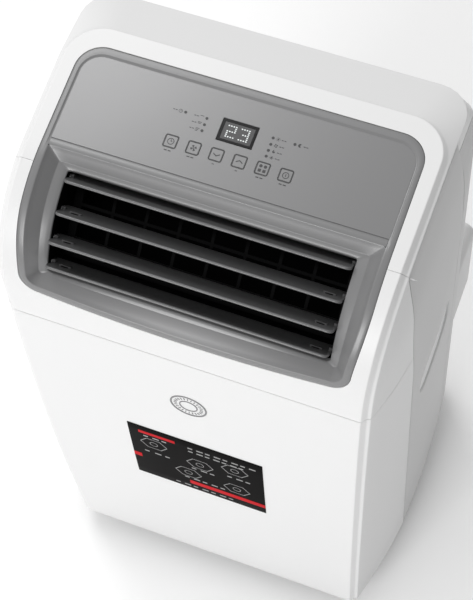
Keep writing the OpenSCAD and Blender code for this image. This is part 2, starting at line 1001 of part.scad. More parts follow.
// Swivel caster: stem, turntable and fork with its moulded axle
module caster_fork(k) {
    site = [(k % 2 == 0 ? -1 : 1) * caster_x, caster_y[floor(k / 2)]];
    color("dimgray") place() translate([site[0], site[1], 0]) {
        translate([0, 0, 27]) cylinder(r = 4, h = skirt_z - 11);
        translate([0, 0, skirt_z - 3.5]) cylinder(r = 11, h = 3);
        intersection() {
            difference() {
                translate([-11, -6, 5]) cube([22, 26, 25]);
                translate([-8, -20, -1]) cube([16, 60, 27.4]);
            }
            union() {
                translate([-20, caster_trail, wheel_r]) rotate([0, 90, 0]) cylinder(r = 9, h = 40);
                block(-20, 20, -6, caster_trail + 9, wheel_r + 4, 29);
            }
        }
        translate([-10, caster_trail, wheel_r]) rotate([0, 90, 0]) cylinder(r = 2.5, h = 20);
    }
}

module caster_wheel(k) {
    site = [(k % 2 == 0 ? -1 : 1) * caster_x, caster_y[floor(k / 2)]];
    color("black") place() translate([site[0], site[1] + caster_trail, wheel_r]) rotate([0, 90, 0]) {
        difference() {
            translate([0, 0, -7.4]) cylinder(r = wheel_r, h = 14.8);
            translate([0, 0, -9]) cylinder(r = 2.5 + run, h = 18);
            for (s = [-1, 1]) {
                translate([0, 0, s * 7.4]) difference() {
                    cylinder(r = wheel_r - 2.5, h = 3, center = true);
                    cylinder(r = 4.5, h = 4, center = true);
                }
            }
        }
    }
}

module caster_fork_1() {
    caster_fork(0);
}

module caster_fork_2() {
    caster_fork(1);
}

module caster_fork_3() {
    caster_fork(2);
}

module caster_fork_4() {
    caster_fork(3);
}

module caster_wheel_1() {
    caster_wheel(0);
}

module caster_wheel_2() {
    caster_wheel(1);
}

module caster_wheel_3() {
    caster_wheel(2);
}

module caster_wheel_4() {
    caster_wheel(3);
}

base_pan();
lower_front_panel();
upper_front_frame();
top_cover();
left_side_panel();
right_side_panel();
back_panel();
outlet_bezel();
control_panel();
display_window();
indicator_lamps();
key_timer();
key_fan();
key_down();
key_up();
key_mode();
key_power();
control_board();
louvre_blade_1();
louvre_blade_2();
louvre_blade_3();
louvre_blade_4();
louvre_link();
louvre_motor();
outlet_duct();
outlet_grille();
upper_scroll();
upper_blower();
upper_motor();
evaporator();
drip_tray();
lower_scroll();
lower_blower();
lower_motor();
condenser();
compressor();
compressor_feet();
refrigerant_pipes();
electrical_box();
exhaust_adaptor();
upper_intake_grille();
lower_intake_grille();
upper_filter();
lower_filter();
drain_cap_upper();
drain_cap_lower();
cord_gland();
front_badge();
front_label();
casing_screws();
caster_fork_1();
caster_fork_2();
caster_fork_3();
caster_fork_4();
caster_wheel_1();
caster_wheel_2();
caster_wheel_3();
caster_wheel_4();
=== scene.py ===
"""A portable air conditioner on casters: shells, louvre, keys and trim built around the CAD frame.

Lengths are in millimetres. x is to the right of someone facing the front, y is measured back from
the foot of the front panel and z up from the panels' lower edge. ROW turns such a point into the
row frame, in metres. On the bowed face a point is (x, s, d): s is the distance up the face from its
foot and d the depth under it.
"""
import json
import math

import bmesh
import bpy
from mathutils import Matrix, Vector
from mathutils.bvhtree import BVHTree


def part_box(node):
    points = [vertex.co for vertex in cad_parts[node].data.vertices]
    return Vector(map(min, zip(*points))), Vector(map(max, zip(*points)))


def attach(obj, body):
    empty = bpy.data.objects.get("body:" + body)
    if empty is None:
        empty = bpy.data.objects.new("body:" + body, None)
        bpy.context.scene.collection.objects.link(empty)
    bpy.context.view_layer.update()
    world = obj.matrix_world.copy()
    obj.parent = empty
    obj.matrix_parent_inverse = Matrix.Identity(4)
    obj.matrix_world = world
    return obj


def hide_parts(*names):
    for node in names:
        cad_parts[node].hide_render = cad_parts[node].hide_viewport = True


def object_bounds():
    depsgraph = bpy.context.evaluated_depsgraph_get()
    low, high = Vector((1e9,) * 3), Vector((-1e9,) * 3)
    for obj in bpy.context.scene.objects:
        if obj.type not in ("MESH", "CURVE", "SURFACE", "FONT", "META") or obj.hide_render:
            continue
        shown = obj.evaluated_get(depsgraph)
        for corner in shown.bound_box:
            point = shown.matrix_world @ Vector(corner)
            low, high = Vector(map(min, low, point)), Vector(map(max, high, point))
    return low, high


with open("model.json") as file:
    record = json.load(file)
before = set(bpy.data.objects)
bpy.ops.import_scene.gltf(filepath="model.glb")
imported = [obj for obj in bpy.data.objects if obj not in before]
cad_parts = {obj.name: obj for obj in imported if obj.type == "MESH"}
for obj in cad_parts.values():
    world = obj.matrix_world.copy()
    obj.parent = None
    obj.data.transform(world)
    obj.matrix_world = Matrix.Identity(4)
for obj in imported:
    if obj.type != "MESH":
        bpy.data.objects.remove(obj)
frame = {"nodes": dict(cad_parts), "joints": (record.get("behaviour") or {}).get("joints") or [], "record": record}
cad_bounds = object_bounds()

MM = 0.001
HALF_DEPTH = -cad_bounds[0][1] / MM
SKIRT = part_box("lower_front_panel")[0].z / MM
DECK_TOP = cad_bounds[1][2] / MM - SKIRT
HALF_WIDTH = cad_bounds[1][0] / MM
REAR_TRIM = 55.3
REAR_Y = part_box("right_side_panel")[1].y / MM + HALF_DEPTH + REAR_TRIM
ROW = Matrix.Translation((0, -HALF_DEPTH * MM, SKIRT * MM)) @ Matrix.Scale(MM, 4)

# ---------------------------------------------------------------- camera

CAMERA_AT = (0.33682, -0.60587, 1.93338)
CAMERA_RIGHT = Vector((0.93239, 0.35421, -0.07200))
CAMERA_UP = Vector((-0.29645, 0.86337, 0.40831))
CAMERA_BACK = Vector((0.20679, -0.35936, 0.91000))
LENS = 98.63


def add_object(name, data):
    """Puts a new object into the scene."""
    obj = bpy.data.objects.new(name, data)
    bpy.context.scene.collection.objects.link(obj)
    return obj


def make_camera():
    data = bpy.data.cameras.new("camera")
    data.lens = LENS
    data.sensor_width = 36
    data.clip_end = 20
    camera = add_object("camera", data)
    turn = Matrix((CAMERA_RIGHT, CAMERA_UP, CAMERA_BACK)).transposed().to_4x4()
    camera.matrix_world = Matrix.Translation(CAMERA_AT) @ turn
    bpy.context.scene.camera = camera


# ---------------------------------------------------------------- the face of the cabinet

LOW_SEAM = Vector((35.4, 521.8))
BOW_SAG = 6.4
SHOULDER_R = 116
SHOULDER_Y = 154.4
DECK_SLOPE = math.radians(5.4)
DECK_BACK_Y = 265.5


def bow_circle():
    """Centre and radius of the large arc of the front panel, in (y, z)."""
    length = LOW_SEAM.length
    radius = ((length / 2) ** 2 + BOW_SAG ** 2) / (2 * BOW_SAG)
    across = Vector((LOW_SEAM.y, -LOW_SEAM.x)) / length
    return LOW_SEAM / 2 + across * (radius - BOW_SAG), radius


BOW_C, BOW_R = bow_circle()


def shoulder_centre():
    deck_z = DECK_TOP - (DECK_BACK_Y - SHOULDER_Y) * math.tan(DECK_SLOPE)
    z = deck_z - SHOULDER_R / math.cos(DECK_SLOPE)
    y = BOW_C.x - math.sqrt((BOW_R - SHOULDER_R) ** 2 - (z - BOW_C.y) ** 2)
    return Vector((y, z))


SHOULDER_C = shoulder_centre()


def heading(point, centre):
    """Angle of an arc at a point, counted so that it grows up the face."""
    return math.atan2(point.y - centre.y, centre.x - point.x)


FOOT_TURN = heading(Vector((0, 0)), BOW_C)
TOUCH_TURN = heading(SHOULDER_C, BOW_C)
DECK_TURN = math.pi / 2 - DECK_SLOPE
S_TOUCH = BOW_R * (TOUCH_TURN - FOOT_TURN)
S_FLAT = S_TOUCH + SHOULDER_R * (DECK_TURN - TOUCH_TURN)
FLAT_START = SHOULDER_C + SHOULDER_R * Vector((-math.cos(DECK_TURN), math.sin(DECK_TURN)))
S_END = S_FLAT + (DECK_BACK_Y - FLAT_START.x) / math.cos(DECK_SLOPE)


def face(s):
    """Point (y, z) and direction (ty, tz) of the face at the distance s."""
    if s < S_TOUCH:
        turn = FOOT_TURN + s / BOW_R
        at = BOW_C + BOW_R * Vector((-math.cos(turn), math.sin(turn)))
    elif s < S_FLAT:
        turn = TOUCH_TURN + (s - S_TOUCH) / SHOULDER_R
        at = SHOULDER_C + SHOULDER_R * Vector((-math.cos(turn), math.sin(turn)))
    else:
        turn = DECK_TURN
        at = FLAT_START + (s - S_FLAT) * Vector((math.sin(turn), math.cos(turn)))
    return at, Vector((math.sin(turn), math.cos(turn)))


def skin(x, s, d=0.0):
    """The point d under the face at (x, s)."""
    at, along = face(s)
    return Vector((x, at.x + along.y * d, at.y - along.x * d))


def outward(ox, os, s):
    """A direction (ox, os) drawn on the face, in space."""
    along = face(s)[1]
    return Vector((ox, os * along.x, os * along.y))


def under(s):
    """The direction into the cabinet at s."""
    along = face(s)[1]
    return Vector((0, along.y, -along.x))


def spline(points, x):
    """Smooth curve through a few points of rising x."""
    if x <= points[0][0]:
        return points[0][1]
    if x >= points[-1][0]:
        return points[-1][1]
    k = max(i for i in range(len(points) - 1) if points[i][0] <= x)

    def slope(i):
        a, b = max(i - 1, 0), min(i + 1, len(points) - 1)
        return (points[b][1] - points[a][1]) / (points[b][0] - points[a][0])

    (x0, y0), (x1, y1) = points[k], points[k + 1]
    h = x1 - x0
    t = (x - x0) / h
    return (
        (2 * t ** 3 - 3 * t ** 2 + 1) * y0 + (t ** 3 - 2 * t ** 2 + t) * h * slope(k)
        + (3 * t ** 2 - 2 * t ** 3) * y1 + (t ** 3 - t ** 2) * h * slope(k + 1)
    )


def smooth(t):
    t = min(max(t, 0.0), 1.0)
    return t * t * (3 - 2 * t)


def mix(a, b, t):
    return a + (b - a) * t


def spread(a, b, n):
    """n + 1 values from a to b."""
    return [mix(a, b, k / n) for k in range(n + 1)]


def on_circle(x, y, radius, turn):
    return x + radius * math.cos(turn), y + radius * math.sin(turn)


# Half width of the face along s, and the seams that cut the shell into panels
FACE_HALF = [(0, 167), (250, 169.2), (523, 170.3), (600, 172.4), (697, 174.8), (780, 175.8), (840, 176.2)]
SEAM_Z = LOW_SEAM.y
SEAM_S = 697
MID_SEAM_Y = 111
REAR_SEAM_Y = 257
GAP = 1.1
SIDE_GAP = 1.3
DECK_GAP = 0.3
CORNER_R = 35
REAR_R = 32
BEVEL_DROP = (REAR_Y - DECK_BACK_Y) * math.tan(math.radians(18.2))


def face_half(s):
    return spline(FACE_HALF, s)


# ---------------------------------------------------------------- the sides of the cabinet

FLANK_R = 1000
FLANK_Y = 172
DRAW_Z = 609
DRAW_SOFT = 12
DRAW_IN = 5.7
DRAW_START = 590
LEAN_START = 540


def plan_x(y):
    return HALF_WIDTH - FLANK_R + math.sqrt(FLANK_R ** 2 - (y - FLANK_Y) ** 2)


def draw_in(z):
    soft = DRAW_SOFT * math.log(1 + math.exp((z - DRAW_Z) / DRAW_SOFT))
    return HALF_WIDTH - DRAW_IN + 0.032 * (DRAW_Z - z) - 0.18 * soft


CHAMFER = (4.2, 5.2)
RIM_OUT = [(0, 7.5), (523, 7.5), (740, 6.6), (840, 6.4)]
RIM_IN = 6.3


def rim_beside(s):
    """Outer edge of the rim beside the face, before the rear corner."""
    return skin(face_half(s) + spline(RIM_OUT, s), s, RIM_IN)


S_CORNER = S_END - CORNER_R
RIM_CORNER = rim_beside(S_CORNER)
RIM_REAR_Z = DECK_TOP - BEVEL_DROP


def rim_behind(t):
    """Outer edge of the rim round the rear corner, for t from 0 to 1."""
    straight = REAR_Y - REAR_R - RIM_CORNER.y
    arc = REAR_R * math.pi / 2
    run = t * (straight + arc)
    z = mix(RIM_CORNER.z, RIM_REAR_Z, smooth(t))
    if run < straight:
        return Vector((RIM_CORNER.x, RIM_CORNER.y + run, z))
    at = on_circle(RIM_CORNER.x - REAR_R, REAR_Y - REAR_R, REAR_R, (run - straight) / REAR_R)
    return Vector((*at, z))


RIM_TOP = [rim_beside(s) for s in spread(SEAM_S, S_CORNER, 24)]
RIM_TOP += [rim_behind(t) for t in spread(0.04, 0.4, 9)]


def rim_at(y):
    """Point of the rim at a distance y, from the deck seam to the rear seam."""
    for a, b in zip(RIM_TOP, RIM_TOP[1:]):
        if y <= b.y:
            return a.lerp(b, max(0.0, (y - a.y) / (b.y - a.y)))
    return RIM_TOP[-1].copy()


def seam_y(z):
    """The seam down each side leans back near its top, to meet the seam across the deck."""
    top = RIM_TOP[0]
    return MID_SEAM_Y + (top.y - MID_SEAM_Y) * max(0.0, (z - LEAN_START) / (top.z - LEAN_START)) ** 2


def side_x(y, z):
    """Half width of the side surface, drawn to the rim near its top."""
    rim = rim_at(y)
    base = min(plan_x(y), draw_in(z))
    return base + (rim.x - draw_in(rim.z)) * smooth((z - DRAW_START) / (rim.z - DRAW_START))


# ---------------------------------------------------------------- meshes

WELD = 0.02


def rounded(points, radii):
    """The polyline with each inner corner turned into a short curve."""
    out = [points[0]]
    for a, b, c, radius in zip(points, points[1:], points[2:], radii):
        back = (a - b).normalized() * min(radius, (a - b).length * 0.48)
        on = (c - b).normalized() * min(radius, (c - b).length * 0.48)
        for t in spread(0, 1, 4):
            out.append(b + back * (1 - t) ** 2 + on * t ** 2)
    out.append(points[-1])
    return out


class Sheet:
    """Collects grids of points in millimetres and turns them into one object."""

    def __init__(self):
        self.bm = bmesh.new()

    def everything(self):
        return self.bm.verts[:] + self.bm.edges[:] + self.bm.faces[:]

    def grid(self, rows, closed=False):
        made = [[self.bm.verts.new(p) for p in row] for row in rows]
        for a, b in zip(made, made[1:]):
            count = len(a) if closed else len(a) - 1
            for i in range(count):
                j = (i + 1) % len(a)
                self.bm.faces.new((a[i], a[j], b[j], b[i]))

    def prism(self, rings):
        """A closed tube through the rings, capped at both ends."""
        self.grid(rings, closed=True)
        for loop in (rings[0], rings[-1]):
            self.bm.faces.new([self.bm.verts.new(p) for p in loop])

    def rod(self, a, b, radius):
        """A round bar from a to b."""
        axis = (b - a).normalized()
        u = axis.orthogonal().normalized()
        v = axis.cross(u)
        circle = ring_loop(radius, 20)
        self.prism([[end + p.x * u + p.y * v for p in circle] for end in (a, b)])

    def box(self, low, high):
        outline = [(low[0], low[1]), (high[0], low[1]), (high[0], high[1]), (low[0], high[1])]
        self.prism([[Vector((x, y, z)) for x, y in outline] for z in (low[2], high[2])])

    def cut(self, at, normal, keep_above=True):
        """Keeps the part on one side of a plane."""
        bmesh.ops.bisect_plane(
            self.bm, geom=self.everything(), dist=1e-4,
            plane_co=at, plane_no=normal, clear_inner=keep_above, clear_outer=not keep_above,
        )

    def flip(self, geom):
        """Turns some of the sheet from right to left."""
        for v in geom:
            if isinstance(v, bmesh.types.BMVert):
                v.co.x = -v.co.x
        bmesh.ops.reverse_faces(self.bm, faces=[g for g in geom if isinstance(g, bmesh.types.BMFace)])

    def mirror(self):
        """Adds the left half."""
        self.flip(bmesh.ops.duplicate(self.bm, geom=self.everything())["geom"])

    def face_away(self, core):
        """Points the faces away from a point inside the piece."""
        core = Vector(core)
        facing = sum(f.calc_area() * f.normal.dot(f.calc_center_median() - core) for f in self.bm.faces)
        if facing < 0:
            bmesh.ops.reverse_faces(self.bm, faces=self.bm.faces[:])

    def object(self, name, core=None, thick=0.0, bevel=0.0, sharp=38, matrix=ROW):
        """Welds the sheet, turns it away from core, gives it thickness and rounds its edges."""
        bm = self.bm
        bmesh.ops.remove_doubles(bm, verts=bm.verts, dist=WELD)
        bmesh.ops.dissolve_degenerate(bm, edges=bm.edges, dist=WELD)
        bmesh.ops.recalc_face_normals(bm, faces=bm.faces)
        if core is not None:
            self.face_away(core)
        bmesh.ops.transform(bm, matrix=matrix, verts=bm.verts)
        obj = linked(name, bm)
        if thick:
            solid = obj.modifiers.new("thickness", "SOLIDIFY")
            solid.thickness = thick * MM
            solid.offset = -1
            solid.use_even_offset = True
        if bevel:
            edge = obj.modifiers.new("edges", "BEVEL")
            edge.width = bevel * MM
            edge.segments = 2
            edge.limit_method = "ANGLE"
            edge.angle_limit = math.radians(50)
        apply_modifiers(obj)
        shade(obj, sharp)
        return obj


def linked(name, bm):
    """A new object from a finished bmesh."""
    mesh = bpy.data.meshes.new(name)
    bm.to_mesh(mesh)
    bm.free()
    return add_object(name, mesh)


def evaluated(obj):
    """The mesh of a curve, or of an object with its modifiers."""
    view = bpy.context.evaluated_depsgraph_get()
    return bpy.data.meshes.new_from_object(obj.evaluated_get(view))


def apply_modifiers(obj):
    old, obj.data = obj.data, evaluated(obj)
    obj.modifiers.clear()
    bpy.data.meshes.remove(old)


def shade(obj, sharp):
    for polygon in obj.data.polygons:
        polygon.use_smooth = True
    obj.data.set_sharp_from_angle(angle=math.radians(sharp))


def place(obj, body, slot, *nodes, look=None):
    """Gives a finished piece its material and its body, and hides the CAD nodes that it stands for."""
    obj.data.materials.clear()
    obj.data.materials.append(MATERIALS[look or slot])
    if nodes:
        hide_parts(*nodes)
    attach(obj, body)


def rounded_loop(half_w, half_h, radius, per_corner=8, centre=(0, 0)):
    """Closed loop of a rounded rectangle in two dimensions."""
    out = []
    for k, (sx, sy) in enumerate(((1, 1), (-1, 1), (-1, -1), (1, -1))):
        x, y = centre[0] + sx * (half_w - radius), centre[1] + sy * (half_h - radius)
        for t in spread(0, 1, per_corner):
            out.append(Vector(on_circle(x, y, radius, (k + t) * math.pi / 2)))
    return out


def ring_loop(radius, count=32, phase=0.0):
    """Closed loop of a circle in two dimensions."""
    return [Vector(on_circle(0, 0, radius, 2 * math.pi * (k + phase) / count)) for k in range(count)]


def plate(name, outlines, thick, bevel, matrix):
    """A flat plate from closed outlines in millimetres; an outline inside another is a hole."""
    curve = bpy.data.curves.new(name, "CURVE")
    curve.dimensions = "2D"
    curve.fill_mode = "BOTH"
    curve.extrude = max(thick / 2 - bevel, 0.0)
    curve.bevel_depth = bevel
    curve.bevel_resolution = 1
    curve.offset = -bevel
    for outline in outlines:
        line = curve.splines.new("POLY")
        line.points.add(len(outline) - 1)
        for point, p in zip(line.points, outline):
            point.co = (p[0], p[1], 0, 1)
        line.use_cyclic_u = True
    shape = add_object(name, curve)
    mesh = evaluated(shape)
    bpy.data.objects.remove(shape)
    bpy.data.curves.remove(curve)
    mesh.transform(ROW @ matrix)
    obj = add_object(name, mesh)
    shade(obj, 30)
    return obj


def prints(shapes, matrix):
    """Thin printed plates; a shape is a list of outlines."""
    return [plate("print", outlines, 0.12, 0.0, matrix) for outlines in shapes]


def join(name, objects):
    """One object from several."""
    bm = bmesh.new()
    for obj in objects:
        bm.from_mesh(obj.data)
        bpy.data.objects.remove(obj)
    out = linked(name, bm)
    shade(out, 30)
    return out


# ---------------------------------------------------------------- materials

MATERIALS = {}


class Paint:
    """A material in the making, kept in MATERIALS: its nodes, its shader and the object's own coordinates."""

    def __init__(self, name):
        self.material = MATERIALS[name] = bpy.data.materials.new(name)
        self.material.use_nodes = True
        self.tree = self.material.node_tree
        self.shader = self.tree.nodes["Principled BSDF"]
        self.place = self.add("TexCoord").outputs["Object"]

    def add(self, kind, **values):
        node = self.tree.nodes.new("ShaderNode" + kind)
        for socket, value in values.items():
            node.inputs[socket.replace("_", " ")].default_value = value
        return node

    def set(self, **values):
        for socket, value in values.items():
            self.shader.inputs[socket.replace("_", " ")].default_value = value

    def feed(self, output, node, socket):
        self.tree.links.new(output, node.inputs[socket])

    def noise(self, scale, detail, at=None):
        node = self.add("TexNoise", Scale=scale, Detail=detail)
        self.feed(at or self.place, node, "Vector")
        return node.outputs["Fac"]

    def colour(self, first, second, fac):
        ramp = self.add("Mix")
        ramp.data_type = "RGBA"
        ramp.inputs["A"].default_value = (*first, 1)
        ramp.inputs["B"].default_value = (*second, 1)
        self.feed(fac, ramp, "Factor")
        self.feed(ramp.outputs["Result"], self.shader, "Base Color")

    def roughness(self, low, high, fac):
        gloss = self.add("MapRange", To_Min=low, To_Max=high)
        self.feed(fac, gloss, "Value")
        self.feed(gloss.outputs["Result"], self.shader, "Roughness")

    def bump(self, strength, distance, height):
        node = self.add("Bump", Strength=strength, Distance=distance)
        self.feed(height, node, "Height")
        self.feed(node.outputs["Normal"], self.shader, "Normal")


def moulded(name, colour, rough, grain=0.02, tint=0.03, coat=0.0, metallic=0.0, specular=0.5, glow=0.0):
    """Moulded plastic: a fine skin texture, slow changes of colour and gloss, and a soft coat."""
    paint = Paint(name)
    slow, fine = paint.noise(6, 3), paint.noise(900, 2)
    paint.colour([c * (1 - tint) for c in colour], [min(c * (1 + tint), 1) for c in colour], slow)
    paint.roughness(rough * 0.92, rough * 1.1, slow)
    paint.bump(grain, 0.0002, fine)
    paint.set(Coat_Weight=coat, Coat_Roughness=0.12, Metallic=metallic, Specular_IOR_Level=specular)
    paint.set(Emission_Color=(1, 1, 1, 1), Emission_Strength=glow)


def glowing(name, colour, strength):
    paint = Paint(name)
    paint.set(Base_Color=(*colour, 1), Emission_Color=(*colour, 1), Emission_Strength=strength, Roughness=0.3)


def brushed(name, colour, rough, scale):
    """Metal with fine lines along one axis."""
    paint = Paint(name)
    stretch = paint.add("Mapping", Scale=scale)
    paint.feed(paint.place, stretch, "Vector")
    lines = paint.noise(60, 4, stretch.outputs["Vector"])
    paint.colour([c * 0.8 for c in colour], colour, lines)
    paint.roughness(rough * 0.7, rough * 1.3, lines)
    paint.bump(0.15, 0.0003, lines)
    paint.set(Metallic=1.0)


def mesh_cloth(name, colour):
    """Filter net: a fine woven grid from two sets of waves."""
    paint = Paint(name)
    both = paint.add("Math")
    both.operation = "MAXIMUM"
    for k, direction in enumerate("XZ"):
        wave = paint.add("TexWave", Scale=160)
        wave.bands_direction = direction
        paint.feed(paint.place, wave, "Vector")
        paint.feed(wave.outputs["Fac"], both, k)
    paint.colour([c * 0.25 for c in colour], colour, both.outputs["Value"])
    paint.bump(0.5, 0.0005, both.outputs["Value"])
    paint.set(Roughness=0.8)


moulded("white_shell", (0.74, 0.74, 0.74), 0.42, tint=0.01)
# The sides are the same white plastic as the front; this darker grey is painted shade for the sides, which face
# away from the light
moulded("side_shell", (0.57, 0.57, 0.57), 0.5, grain=0.05, tint=0.015)
# Same white plastic as the shell, made lighter and given a faint glow: painted light on the floor of the hand hold
moulded("hold_painted_light", (0.85, 0.85, 0.85), 0.45, tint=0.01, glow=0.05)
moulded("rear_trim", (0.66, 0.66, 0.66), 0.5, grain=0.05, tint=0.02)
moulded("bezel_grey", (0.19, 0.19, 0.192), 0.34, tint=0.02, coat=0.08, metallic=0.12)
moulded("panel_grey", (0.195, 0.195, 0.197), 0.32, tint=0.02, coat=0.1, metallic=0.35)
moulded("panel_print", (0.03, 0.03, 0.031), 0.4, tint=0.02)
moulded("blade_grey", (0.125, 0.125, 0.127), 0.3, tint=0.02, coat=0.15, metallic=0.1)
moulded("duct_black", (0.003, 0.003, 0.0032), 0.6, grain=0.08, tint=0.1, specular=0.05)
moulded("display_black", (0.006, 0.006, 0.0065), 0.2, 0.0, tint=0.05, coat=0.05, specular=0.2)
moulded("display_screen", (0.045, 0.045, 0.047), 0.25, grain=0.01, tint=0.05)
glowing("display_digit", (0.6, 0.63, 0.63), 0.3)
moulded("badge_metal", (0.2, 0.2, 0.205), 0.35, tint=0.03, metallic=0.3)
moulded("label_black", (0.003, 0.0026, 0.0026), 0.5, grain=0.02, tint=0.05, specular=0.02)
moulded("label_red", (0.5, 0.006, 0.012), 0.5, grain=0.02, tint=0.03, specular=0.05)
moulded("label_line", (0.32, 0.32, 0.32), 0.4, grain=0.02, tint=0.03)
moulded("black_rubber", (0.02, 0.02, 0.02), 0.75, grain=0.2, tint=0.1)
moulded("base_plastic", (0.10, 0.10, 0.10), 0.55, grain=0.1, tint=0.05)
moulded("caster_plastic", (0.03, 0.03, 0.032), 0.45, grain=0.08, tint=0.06)
moulded("board", (0.02, 0.16, 0.06), 0.4, grain=0.05, tint=0.1)
brushed("motor_steel", (0.6, 0.6, 0.6), 0.35, (1, 1, 20))
brushed("coil_aluminium", (0.75, 0.76, 0.77), 0.35, (40, 1, 1))
brushed("pipe_copper", (0.72, 0.38, 0.24), 0.3, (1, 1, 8))
moulded("compressor_paint", (0.015, 0.015, 0.016), 0.25, tint=0.05, coat=0.5)
mesh_cloth("filter_mesh", (0.14, 0.15, 0.16))


def dress_cad_nodes():
    """Gives every CAD node the material that is named after its slot."""
    for part in frame["record"]["subparts"]:
        node = frame["nodes"][part["node"]]
        node.data.materials.clear()
        node.data.materials.append(MATERIALS[part["material_slot"]])


# ---------------------------------------------------------------- shell panels

WALL = 2.8
EDGE = 0.35
CORE = (0, 170, 330)
FACE_IN = 1.5


def band_row(x, s, ox, os, fade, rim):
    """Points from the face over its chamfer to the rim."""
    out = outward(ox, os, s)
    at = skin(x, s)
    start = at - out * FACE_IN
    turn = at + out * CHAMFER[0] * fade + under(s) * CHAMFER[1] * fade
    down = Vector((rim.x, rim.y, rim.z - 1.0))
    return rounded([start, at, turn, rim, down], [1.0, 1.2 + 2.5 * (1 - fade), 1.2])


def beside_row(s):
    return band_row(face_half(s), s, 1, 0, 1, rim_beside(s))


def corner_row(t):
    """t from 0 at the side to 1 at the rear."""
    turn = t * math.pi / 2
    x, s = on_circle(face_half(S_CORNER) - CORNER_R, S_CORNER, CORNER_R, turn)
    fade = 1 - 0.85 * math.sin(turn) ** 2
    return band_row(x, s, math.cos(turn), math.sin(turn), fade, rim_behind(t))


def rear_row(t):
    """t from 0 at the corner to 1 at the middle."""
    x = (face_half(S_CORNER) - CORNER_R) * (1 - t)
    rim = rim_behind(1)
    return band_row(x, S_END, 0, 1, 0.15, Vector((rim.x * (1 - t), rim.y, rim.z)))


def flank_row(s):
    """Points from the rim back to the seam down the side."""
    rim = rim_beside(s)
    end_y = seam_y(rim.z) - SIDE_GAP / 2
    end_x = side_x(MID_SEAM_Y, rim.z)
    row = []
    for t in spread(0, 1, 12):
        swell = t * (1 + 0.45 * (1 - t))
        row.append(Vector((mix(rim.x, end_x, swell), mix(rim.y, end_y, t), rim.z)))
    return row


def front_row(s):
    """A whole row of the front, from the rim's side to the seam down the side."""
    at, along = skin(face_half(s), s), under(s)
    start = at - Vector((FACE_IN, 0, 0))
    turn = at + Vector((CHAMFER[0], 0, 0)) + along * CHAMFER[1]
    flank = flank_row(s)
    return rounded([start, at, turn, flank[0], flank[1]], [1.0, 1.2, 1.0])[:-1] + flank[1:]


def lower_front_panel():
    sheet = Sheet()
    rows = []
    for s in spread(-4, max(S_TOUCH, 530), 40):
        middle = [skin(x, s) for x in spread(0, face_half(s) - FACE_IN, 10)][:-1]
        rows.append(middle + front_row(s))
    sheet.grid(rows)
    sheet.cut((0, 0, 0), (0, 0, 1))
    sheet.cut((0, 0, SEAM_Z - GAP / 2), (0, 0, 1), keep_above=False)
    sheet.mirror()
    obj = sheet.object("front_panel", CORE, WALL, EDGE)
    place(obj, "casing", "white_shell", "lower_front_panel")


# Outline of the bezel on the face, and counts of points along its five stretches
BEZEL_TOP = 818.9
BEZEL_TOP_R = 25
BEZEL_LOW_R = 20
BEZEL_HALF = [(560, 154.5), (580, 156.2), (600, 157.9), (620, 160), (640, 161.7), (660, 162.5), (840, 162.5)]
COUNTS = (14, 12, 34, 12, 14)


def bezel_low(x):
    """The bezel's lower edge is bowed down in the middle."""
    return 562.6 + 8.4 * (x / 140) ** 2


def bezel_loop(grow, low=bezel_low, half=BEZEL_HALF, top=BEZEL_TOP, top_r=BEZEL_TOP_R, low_r=BEZEL_LOW_R):
    """Half of a loop like the bezel's outline, from its foot to its top, drawn outwards by grow."""
    arc_s = low(140) + low_r
    arc_x = spline(half, arc_s) - low_r
    foot = low(arc_x)
    points = [(x, low(x) - grow) for x in spread(0, arc_x, COUNTS[0])]
    for t in spread(0, 1, COUNTS[1])[1:]:
        turn = (t - 1) * math.pi / 2
        s = mix(foot, arc_s, 1 + math.sin(turn)) - grow * max(0, -math.sin(turn))
        points.append((arc_x + (low_r + grow) * math.cos(turn), s))
    points += [(spline(half, s) + grow, s) for s in spread(arc_s, top - top_r, COUNTS[2])[1:]]
    top_x = spline(half, top) - top_r
    for turn in spread(0, math.pi / 2, COUNTS[3])[1:]:
        points.append(on_circle(top_x, top - top_r, top_r + grow, turn))
    return points + [(x, top + grow) for x in spread(top_x, 0, COUNTS[4])[1:]]


RING_FOOT = 518


def edge_samples():
    """Rows of the band along the outer edge of the upper front, with their kinds."""
    up = [("beside", s) for s in spread(RING_FOOT, 560, COUNTS[1] // 2)]
    up += [("beside", s) for s in spread(560, S_CORNER, COUNTS[2])[1:]]
    up += [("corner", t) for t in spread(0, 1, COUNTS[3])[1:]]
    up += [("rear", t) for t in spread(0, 1, COUNTS[4])[1:]]
    return up


BAND_ROWS = {"beside": beside_row, "corner": corner_row, "rear": rear_row}


def edge_start(sample):
    """Where a band starts on the face, as (x, s)."""
    kind, value = sample
    if kind == "beside":
        return face_half(value) - FACE_IN, value
    if kind == "corner":
        return on_circle(face_half(S_CORNER) - CORNER_R, S_CORNER, CORNER_R - FACE_IN, value * math.pi / 2)
    return (face_half(S_CORNER) - CORNER_R) * (1 - value), S_END - FACE_IN


def upper_ring(sheet):
    """The face round the bezel."""
    inner = bezel_loop(0.35)
    half = face_half(RING_FOOT) - FACE_IN
    outer = [(x, RING_FOOT) for x in spread(0, half * 0.82, COUNTS[0])]
    outer += [(x, RING_FOOT) for x in spread(half * 0.82, half, COUNTS[1] // 2)[1:]]
    outer += [edge_start(sample) for sample in edge_samples()[1:]]
    rows = []
    for t in [0, 0.04, 0.12] + spread(0.25, 1, 6):
        rows.append([skin(mix(a[0], b[0], t), mix(a[1], b[1], t)) for a, b in zip(inner, outer)])
    sheet.grid(rows)


